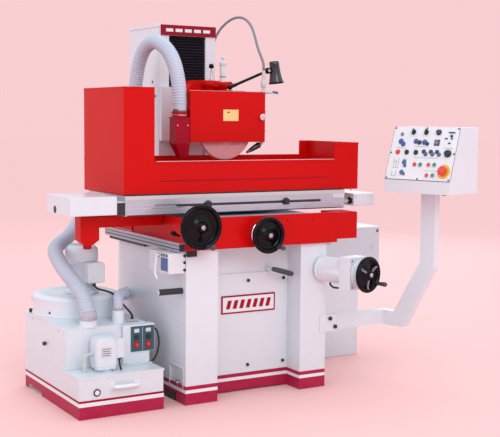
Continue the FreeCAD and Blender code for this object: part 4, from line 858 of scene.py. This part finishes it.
def make_lamp():
    arm = Piece("lamp_stay")
    arm.ball((43, -8, 1527), 14, BLACK)
    arm.rod((43, -8, 1526), (255, -8, 1611), 7.4, BLACK)
    arm.lathe([(7, 0), (9, 4), (9, 40), (7, 46)], (43, -8, 1526), BLACK, (0.93, 0, 0.37), 24)
    arm.ball((270, -8, 1617), 17, BLACK)
    arm.rod((270, -26, 1617), (270, 10, 1617), 8, STEEL, edge=1)
    arm.done("lamp_stay", replaces=["lamp_arm"], slot="black_paint")
    tilt = Matrix.Translation((316, -8, 1610)) @ Matrix.Rotation(math.radians(-8), 4, "Y")
    shade = Piece("lamp_shade", tilt)
    shade.lathe([(0, 61), (19, 60.5), (24.5, 58), (26.5, 52), (27, 40), (27.5, 24), (28.5, 8), (30.5, -10),
        (34, -30), (37.5, -44), (38.5, -50)], (0, 0, 0), LAMPBLACK, steps=48)
    shade.lathe([(38.5, -50), (40.5, -51), (40.8, -58), (38, -59.5), (35, -57), (33, -44), (26, -20), (14, -8),
        (0, -6)], (0, 0, 0), BLACK, steps=48)
    shade.ball((0, 0, -34), 20, LENS)
    for z in (46, 38, 30):
        shade.lathe([(26.8, -1.5), (28.4, 0), (26.8, 1.5)], (0, 0, z), LAMPBLACK, steps=48)
    shade.rod((-44, 0, 6), (-24, 0, 6), 9, BLACK, edge=1)
    shade.done("lamp", replaces=["lamp_head"], slot="black_paint")


make_saddle()
make_table()
make_guard()
make_head()
make_lamp()


# ---------------------------------------------------------------- pendant
CONSOLE = turned_place(840, -653, 0, -74)
# places of the switches and buttons on the panel
START, STOP, EMERGENCY, WHEEL_KNOB, TABLE_KNOB = (27, 82), (-7, 82), (168, 52), (-50, 249), (25, 249)


def make_pendant():
    dress(WHITE, 2.5, "pendant_arm")
    dress(WHITE, 3, "console_shell")
    bolts = Piece("pendant_bolts")
    for x, z in ((424, 352), (456, 308)):
        bolts.screw((x, -394, z), FRONT, 10, DARK, 8)
    bolts.lathe([(34, 0), (34, 3), (30, 6)], (840, -653, 998.6), STEEL, steps=48)
    bolts.box((466.5, -393, 296), (468, -350, 372), PALE)
    bolts.done("machine", 0.4, slot="black_plastic")

    # the panel leans back by 85 over a rise of 265; on it, x is to the right and y up the slope
    lean = math.hypot(85, 265)
    face = CONSOLE @ Matrix(((1, 0, 0, 0), (0, 85 / lean, -265 / lean, -145), (0, 265 / lean, 85 / lean, 1069),
        (0, 0, 0, 1)))
    plate = Piece("console_panel", face)
    for x, y in ((-164, 269), (24, 271), (205, 270), (-165, 140), (206, 143), (-163, 10), (23, 9), (204, 10)):
        plate.lathe([(4.6, 0), (4.6, 1.6), (2.4, 2.8), (0, 2.8)], (x, y, 2.4), DARK, steps=16)
    # signal lamp, rotary knob on the top row and the small switches at the right
    plate.lathe([(10, 0), (10, 2), (7, 4), (5, 7), (0, 8.5)], (-119, 238, 2.4), GREYHOSE, steps=24)
    plate.lathe([(15, 0), (15, 3), (12, 4), (11, 14), (9, 16), (0, 16)], (97, 250, 2.4), SLATE, steps=28)
    for x, y, wide in ((172, 250, 18), (146, 219, 7), (168, 196, 7), (178, 219, 5)):
        plate.box((x - wide, y - 3, 2.4), (x + wide, y + 3, 6.5), SLATE)
    plate.lathe([(7, 0), (7, 4), (4, 6), (3, 12), (0, 13)], (174, 232, 2.4), DARK, steps=20)
    # push keys: two blue, three round on the upper row, one square frame
    for x, y, radius, tone in ((-118, 200, 14, BLUE), (-101, 186, 13, BLUE), (-28, 202, 13, BLUE),
            (-6, 196, 12, SLATE), (24, 198, 14, BLUE), (42, 190, 10, SLATE)):
        plate.lathe([(radius, 0), (radius, 3), (radius - 2, 4), (radius - 3, 3.4), (radius - 3, 7),
            (radius - 5, 8.4), (0, 8.8)], (x, y, 2.4), tone, steps=28)
    # middle row: a red key, two black rotary knobs, three blue-grey keys and the large dial
    for x, tone in ((-124, REDCAP), (-70, DARK), (-15, DARK), (30, SLATE), (44, INK), (72, SLATE), (84, INK),
            (108, SLATE), (122, INK)):
        radius = 13 if tone in (REDCAP, DARK) else 11
        lift = 150 if tone is SLATE else 144 if tone is not INK else 137
        plate.lathe([(radius, 0), (radius, 3), (radius - 2, 4), (radius - 3, 8), (radius - 4, 9), (0, 9.4)],
            (x, lift, 2.4), tone, steps=28)
        if tone is DARK:
            plate.box((x - 2.5, lift - 10, 10), (x + 2.5, lift + 10, 17), SLATE)
    plate.lathe([(19, 0), (19, 3), (16, 5), (15, 15), (13, 17), (4, 17), (0, 16)], (172, 143, 2.4), DARK,
        steps=40)
    for way in around(12, math.radians(-60))[:11]:
        x, y = 172 + 23 * way.x, 143 + 23 * way.y
        plate.box((x - 1, y - 1, 2.5), (x + 1, y + 1, 3), DARK)
    # plain symbols at the left and lines beside the keys
    for x, low, high in ((-136, 66, 110), (-122, 60, 104), (-108, 66, 112), (-136, 22, 46), (-112, 24, 52)):
        plate.box((x - 1, low, 2.5), (x + 1, high, 3.1), GREYHOSE)
    for x0, x1, y in ((-140, -104, 62), (-140, -112, 92), (-142, -108, 20), (-92, -56, 108), (-88, -60, 70),
            (-90, -52, 24), (-30, 52, 175), (-140, -90, 166), (140, 196, 171), (-20, 120, 118), (50, 130, 53)):
        plate.box((x0, y - 0.8, 2.5), (x1, y + 0.8, 3.1), GREYHOSE)
    for x, y, radius in ((-74, 92, 14), (-66, 74, 10), (-78, 40, 13), (-64, 32, 9)):
        plate.lathe([(radius - 3, 0), (radius, 0), (radius, 0.8), (radius - 3, 0.8)], (x, y, 2.5), INK,
            steps=28)
    for x, y, tone in ((75, 83, REDCAP), (109, 84, GREENCAP), (76, 29, REDCAP), (110, 30, GREENCAP)):
        plate.lathe([(13, 0), (13, 3), (11, 4)], (x, y, 2.4), PALE, steps=32)
        plate.lathe([(9.5, 0), (9.5, 7), (8, 9), (0, 9.4)], (x, y, 2.4), tone, steps=28)
    plate.lathe([(36, 0), (36, 1.2), (34, 1.8), (24, 1.8)], (*EMERGENCY, 2.4), YELLOW, steps=48)
    for x, y in (START, STOP):
        plate.lathe([(13.5, 0), (13.5, 2.4), (11, 3.2)], (x, y, 2.4), PALE, steps=32)
    for x, y in (WHEEL_KNOB, TABLE_KNOB):
        plate.lathe([(14.4, 0), (14.4, 1.2), (13.4, 1.8)], (x, y, 2.4), PALE, steps=36)
    plate.boxes(SLATE, (-174, 1, 0.1), (214, 278, 1.4), (82, 182, 2.4), (112, 212, 6))
    plate.box((-171.5, 4, 0.2), (212, 277, 2.6), PLATE_AND_PAINTED_HIGHLIGHT)
    plate.box((87, 187, 5.4), (107, 207, 8), GREYHOSE)
    plate.done("console", 0.3, slot="white_paint")
    for name, node, body, spot in (("wheel_knob", "wheel_selector", "wheel_switch", WHEEL_KNOB),
            ("table_knob_cap", "table_selector", "table_switch", TABLE_KNOB)):
        knob = Piece(name, face @ Matrix.Translation((*spot, 0)))
        knob.lathe([(12, 2.9), (12, 6), (10.5, 8.6), (0, 9)], (0, 0, 0), DARK, steps=36)
        knob.prism([(-4, -14), (4, -14), (3.4, 14), (-3.4, 14)], "z", 6, 20, DARK)
        knob.box((-0.8, 4, 19.8), (0.8, 13, 20.4), PLATE_AND_PAINTED_HIGHLIGHT)
        knob.done(body, 0.6, replaces=[node], slot="black_plastic")
    for name, node, body, spot, tone in (("start_cap", "start_button", "start", START, GREENCAP),
            ("stop_cap", "stop_button", "stop", STOP, REDCAP)):
        cap = Piece(name, face @ Matrix.Translation((*spot, 0)))
        cap.lathe([(8, 2.9), (10, 3.4), (10, 9), (8.6, 10.8), (4, 10.4), (0, 10.2)], (0, 0, 0), tone, steps=36)
        cap.done(body, replaces=[node], slot="green_plastic" if body == "start" else "red_plastic")
    mushroom = Piece("emergency_cap", face @ Matrix.Translation((*EMERGENCY, 0)))
    mushroom.lathe([(15, 2.9), (15, 5), (12, 6), (12, 16)], (0, 0, 0), DARK, steps=36)
    mushroom.lathe([(14, 15), (21, 15.4), (23.6, 17), (24, 20), (23, 24.5), (19.6, 28.4), (12, 29.8), (0, 30)],
        (0, 0, 0), REDCAP, steps=48)
    for k in range(3):
        outline = [(9 * math.cos(a), 9 * math.sin(a)) for a in (TURN * k / 3 + d for d in (0, 0.5, 1.0))]
        mushroom.prism(outline, "z", 29.4, 30.3, PLATE_AND_PAINTED_HIGHLIGHT)
    mushroom.done("stop_all", replaces=["emergency_stop"], slot="red_plastic")

    back = Piece("console_back_details", CONSOLE)
    back.screws((-150, 190), (101,), (1036, 1307), BACK, 5, STEEL, 2.5)
    for z in (1080, 1260):
        back.rod((-162, 101, z - 18), (-162, 101, z + 18), 4.5, STEEL, edge=0.5)
    back.slats((-176.4, -30, 1120), (-174.9, 60, 1125), (0, 0, 14), 8, GREYHOSE)
    back.lathe([(16, 0), (16, 4), (11, 5), (11, 16), (9, 18), (0, 18)], (60, 40, 1006), DARK, DOWN, 24)
    back.box((-160, 99.6, 1025), (200, 101.6, 1318), PALE)
    back.done("console", 0.4, slot="white_paint")


# ---------------------------------------------------------------- dust and coolant collector
def make_collector():
    dress(WHITE, 3, "collector_tank", "collector_chest")
    dress(WHITE, 2, "tank_control_box")
    bands = Piece("tank_bands")
    band(bands, TANK, 23, 58, BAND)
    band(bands, TANK, 58.5, 76.5, PLATE_AND_PAINTED_HIGHLIGHT)
    band(bands, TANK, 77, 87, CARMINE_AND_PAINTED_SHADE)
    strip(bands, -935, -379, -513, -379, 1, 23, BAND)
    strip(bands, -513, 354, -935, 354, 1, 23, BAND)
    for y0, y1 in ((354, 302), (112, -379)):
        strip(bands, -935, y0, -935, y1, 1, 23, BAND)
        strip(bands, -513, y1, -513, y0, 1, 23, BAND)
    band(bands, TANK, 186, 194.4, WHITE, 2.5)
    bands.done("machine", slot="red_paint")

    trim = Piece("tank_fittings")
    trim.lathe([(17, 0), (18, 1.5), (17, 4), (12.5, 5), (12, 2.5)], (-849, -378.8, 119), DARK, FRONT, 40)
    trim.lathe([(12.4, 0), (12.4, 3.6), (7, 4.6), (6.4, 3), (0, 3)], (-849, -378.8, 119), PLATE_AND_PAINTED_HIGHLIGHT, FRONT, 8)
    trim.tube([(-772, -380, 141), (-772, -404, 141), (-760, -410, 141), (-712, -410, 140), (-664, -410, 141),
        (-652, -404, 141), (-652, -380, 141)], 8.5, PLATE_AND_PAINTED_HIGHLIGHT)
    for x in (-772, -652):
        trim.box((x - 12, -381.4, 124), (x + 12, -378.6, 158), PLATE_AND_PAINTED_HIGHLIGHT)
    trim.done("machine", 0.5, slot="white_paint")

    chest = Piece("chest_details")
    chest.lathe([(6, 0), (6, 5), (10, 6), (10, 15), (8, 17), (0, 17)], (-935, 48, 276), DARK, LEFT, 24)
    chest.slats((-634, -168, 383.8), (-625, -150, 385), (16, 0, 0), 6, SLATE)
    for z in (214, 360):
        chest.box((-662, -207.5, z), (-651, -203, z + 24), PALE)
    chest.lathe([(54, 0), (54, 3), (41, 4), (40, 24), (42, 25), (42, 30), (39, 31)], (-801, -160, 384), WHITE,
        steps=48)
    chest.lathe([(40, 0), (40, 3), (29, 4), (28, 54), (27, 60)], (-640, -142, 384), WHITE, steps=40)
    chest.screws((-935,), (-120, 60, 240), (366,), LEFT, 5, PALE, 2.5)
    chest.lathe([(27.5, 0), (31, 1), (31, 5), (27, 6)], (-402, 292.6, 448), STEEL, (-0.669, -0.743, 0), 32)
    chest.boxes(PALE, (-936.2, -48, 216), (-934.6, -46, 342), (-936.2, -199, 216), (-934.6, -197.2, 372),
        (-936, -199, 370), (-934.6, -46, 372), (-640, -172, 383.6), (-534, -146, 384.4))
    chest.boxes(WHITE, (-937.4, -206.6, 196), (-930, -204, 380), (-936, -206.5, 381), (-650, 355, 386))
    chest.done("machine", 0.5, slot="white_paint")

    cuff = Piece("dust_port_cuff")
    cuff.lathe([(38.6, 0), (41.5, 1), (41.5, 9), (39, 10), (39, 16), (40.6, 18), (39, 20), (39, 25), (40.6, 27),
        (39, 29), (39, 36), (38, 40)], (-801, -160, 415), CUFF, steps=48)
    cuff.lathe([(41.6, 0), (42.4, 1), (42.4, 7), (41.6, 8)], (-801, -160, 418), STEEL, steps=48)
    cuff.box((-812, -207, 417), (-798, -199, 427), STEEL)
    cuff.done("machine", slot="hose_plastic")
    clamp = Piece("return_port_cuff")
    clamp.lathe([(26, 0), (27.4, 1), (27.4, 8), (26, 9)], (-640, -142, 448), STEEL, steps=40)
    clamp.done("machine", slot="bare_steel")

    drum = Piece("drum_shell")
    at = (-740, 165, 384)
    drum.lathe([(206, 0.6), (208, 2), (208, 14), (212, 16), (212, 22), (209, 24), (209, 92), (211, 96),
        (211, 101), (208, 108), (202, 113), (190, 116), (150, 115), (140, 109), (92, 106), (0, 106)], at, WHITE,
        steps=96)
    for way in around(3, math.radians(35)):
        side = Vector((-way.y, way.x, 0))
        drum.skin([[Vector(at) + way * reach + side * s + Vector((0, 0, z))
            for s, z in ((-9, 70), (9, 70), (9, 112), (-9, 112))] for reach in (206, 214)], PALE)
    way = around(1, math.radians(213))[0]
    drum.lathe([(6, 0), (6, 2), (4, 3), (0, 3)], Vector(at) + way * 208 + Vector((0, 0, 38)), DARK, way, 20)
    drum.lathe([(7, 0), (7, 5), (9, 8), (9, 18), (6, 21), (0, 21)], (-922, 305, 384), DARK, steps=24)
    drum.done("machine", 0.4, replaces=["dust_drum"], slot="white_paint")

    blower = Piece("blower_body")
    at = (-697, 183, 500)
    blower.lathe([(85, -8.6), (85, 3), (74, 5), (68, 12), (65, 16), (65, 146), (68, 150)], at, WHITE, steps=72)
    blower.lathe([(68, 149), (80, 151), (82.5, 154), (82.5, 196), (81, 208), (75, 219), (62, 228), (40, 233),
        (34, 232), (0, 232.5)], at, WHITE, steps=72)
    for way in around(36):
        side = Vector((-way.y, way.x, 0)) * 1.2
        blower.skin([[Vector(at) + way * reach + side * s + Vector((0, 0, z))
            for reach, s in ((63, -1), (70, -1), (70, 1), (63, 1))] for z in (24, 138)], WHITE)
    for way in around(4, TURN / 8):
        blower.screw(Vector(at) + way * 77 + Vector((0, 0, 2)), UP, 6, STEEL, 5)
    for y in range(-54, 55, 12):
        reach = math.sqrt(60 ** 2 - y ** 2)
        blower.box((at[0] - reach, at[1] + y - 1.6, 731.6), (at[0] + reach, at[1] + y + 1.6, 733.2), PALE)
    blower.slats((-706, 50.6, 566), (-699, 52.6, 636), (18, 0, 0), 5, PLATE_AND_PAINTED_HIGHLIGHT)
    blower.lathe([(11, 0), (11, 7), (8, 9), (8, 16), (6, 22)], (-668, 90, 550), DARK, DOWN, 8)
    blower.box((-711, 55, 550), (-629, 128, 650), WHITE)
    blower.box((-714, 52, 556), (-626, 58, 646), PLATE_AND_PAINTED_HIGHLIGHT)
    blower.done("machine", 0.8, replaces=["blower_motor"], slot="white_paint")

    pump = Piece("pump_body")
    # a quarter round for the body's corners, and its four blocks one on the other
    arc = [(18 * (1 - math.cos(a)), 18 * (1 - math.sin(a))) for a in (TURN / 4 * k / 5 for k in range(6))]
    for inset, low, high in ((2, 206, 218), (0, 219, 336), (4, 335, 346), (12, 345, 352)):
        x0, y0, x1, y1 = -822 + inset, -322 + inset, -720 - inset, -222 - inset
        pump.prism([(x0 + a, y0 + b) for a, b in arc] + [(x1 - a, y0 + b) for a, b in arc[::-1]]
            + [(x1 - a, y1 - b) for a, b in arc] + [(x0 + a, y1 - b) for a, b in arc[::-1]], "z", low, high,
            WHITE)
    pump.slats((-823.6, -304, 226), (-821, -301.4, 330), (0, 11, 0), 7, WHITE)
    for k in range(4):
        pump.box((-799, -324.8, 271 + 10 * k), (-760 + 3 * (k % 2), -324, 274 + 10 * k), SLATE)
    pump.lathe([(44, 0), (44, 6), (39, 12)], (-771, -272, 194.6), PALE, steps=48)
    for x, y in itertools.product((-806, -736), (-312, -232)):
        pump.rod((x, y, 194.6), (x, y, 206), 7, STEEL, edge=1)
    pump.screws((-806, -736), (-312, -232), (206,), UP, 6, DARK, 4)
    pump.prism([(-722, 250), (-682, 254), (-688, 341), (-722, 338)], "y", -308, -240, WHITE)
    pump.prism([(-682, 256), (-680.6, 256), (-685, 338), (-688, 338)], "y", -304, -244, PLATE_AND_PAINTED_HIGHLIGHT)
    pump.lathe([(9, 0), (9, 6), (6, 8), (6, 14)], (-704, -300, 250), DARK, DOWN, 8)
    pump.tube([(-704, -300, 238), (-704, -303, 224), (-702, -308, 206), (-700, -314, 194.5)], 4.5, RUBBER_AND_PAINTED_SHADOW)
    pump.lathe([(11, 0), (11, 4), (8, 5), (8, 24), (12, 25), (12, 40), (8, 41), (8, 54), (10, 55), (10, 62)],
        (-866, -272, 194.6), CREAM, steps=24)
    pump.tube([(-866, -272, 250), (-866, -272, 262), (-858, -272, 272), (-840, -272, 274), (-820, -272, 274)],
        7, CREAM)
    pump.box((-806, -324.2, 262), (-750, -321.4, 312), PALE)
    pump.done("machine", 0.8, replaces=["pump_motor"], slot="white_paint")

    panel = Piece("control_box_panel")
    panel.screws((-642, -522), (-238,), (197.6,), UP, 5, STEEL, 3)
    for x in (-581, -520):
        panel.box((x - 13, -226.2, 344), (x + 13, -224.4, 362), PALE)
        panel.box((x - 12, -227.6, 308), (x + 12, -224.4, 332), DARK)
        panel.lathe([(8, 0), (8, 3), (6.6, 4), (0, 4)], (x, -227.6, 321), DARK, FRONT, 24)
        panel.box((x - 13, -225.6, 270), (x + 13, -224.4, 298), CARMINE_AND_PAINTED_SHADE)
        panel.lathe([(10, 0), (10, 3), (8, 4), (8, 8), (7, 9), (0, 9)], (x, -225.4, 284), REDCAP, FRONT, 28)
    panel.lathe([(8, 0), (8, 6), (5.5, 8), (5, 14)], (-487.2, -195, 352), DARK, RIGHT, 8)
    panel.lathe([(7, 0), (7, 3), (4.8, 5), (4.7, 12)], (-513, -206, 190), DARK, RIGHT, 8)
    panel.lathe([(9, 0), (9, 5), (6, 7), (5.4, 16)], (-540, -82, 384), DARK, UP, 8)
    panel.box((-611, -224.6, 252), (-489, -222.6, 374), TEAL)
    panel.boxes(WHITE, (-654, -244, 194.6), (-507, -174, 197.6), (-614, -225, 250), (-486.4, -176, 251.6))
    panel.box((-551, -225.6, 258), (-549.4, -224.4, 368), PALE)
    panel.done("machine", 0.4, slot="black_plastic")


def make_rear_boxes():
    dress(WHITE, 3, "hydraulic_tank", "electrical_cabinet")
    tank = Piece("hydraulic_fittings")
    tank.screws((520, 740, 960), (156, 514), (474,), UP, 6, STEEL, 4)
    tank.lathe([(11, 0), (11, 3), (8, 6), (0, 7)], (620, 150, 70), STEEL, FRONT, 6)
    tank.boxes(STEEL, (476, 290, 360), (480.2, 390, 376), (999.8, 290, 360), (1004, 390, 376))
    tank.box((474, 144, 470), (1006, 526, 474.4), WHITE)
    tank.box((560, 146.5, 180), (586, 150.5, 330), STEEL)
    tank.box((565, 145.4, 190), (581, 147, 320), GLASS)
    tank.done("machine", 0.6, slot="white_paint")
    case = Piece("cabinet_fittings")
    for x, z in itertools.product((580, 1190), (500, 710)):
        case.lathe([(9, 0), (9, 2.4), (7, 3.4), (0, 3.4)], (x, 228, z), SLATE, FRONT, 24)
        case.box((x - 6, 223.6, z - 1.2), (x + 6, 225, z + 1.2), BRIGHT)
    for z in (520, 690):
        case.rod((565, 227, z - 20), (565, 227, z + 20), 4, STEEL, edge=0.5)
    case.slats((1209.4, 280, 540), (1211.4, 430, 546), (0, 0, 16), 9, SLATE)
    case.slats((640, 479.4, 540), (860, 481.4, 546), (0, 0, 16), 9, SLATE)
    for x in (700, 760):
        case.lathe([(14, 0), (14, 6), (11, 8), (11, 20)], (x, 355, 735), DARK, UP, 8)
    case.boxes(PALE, (566, 227.6, 481), (1204, 230.4, 729), (1150, 224.6, 596), (1164, 228, 634))
    case.done("machine", 0.6, slot="grey_paint")


make_pendant()
make_collector()
make_rear_boxes()
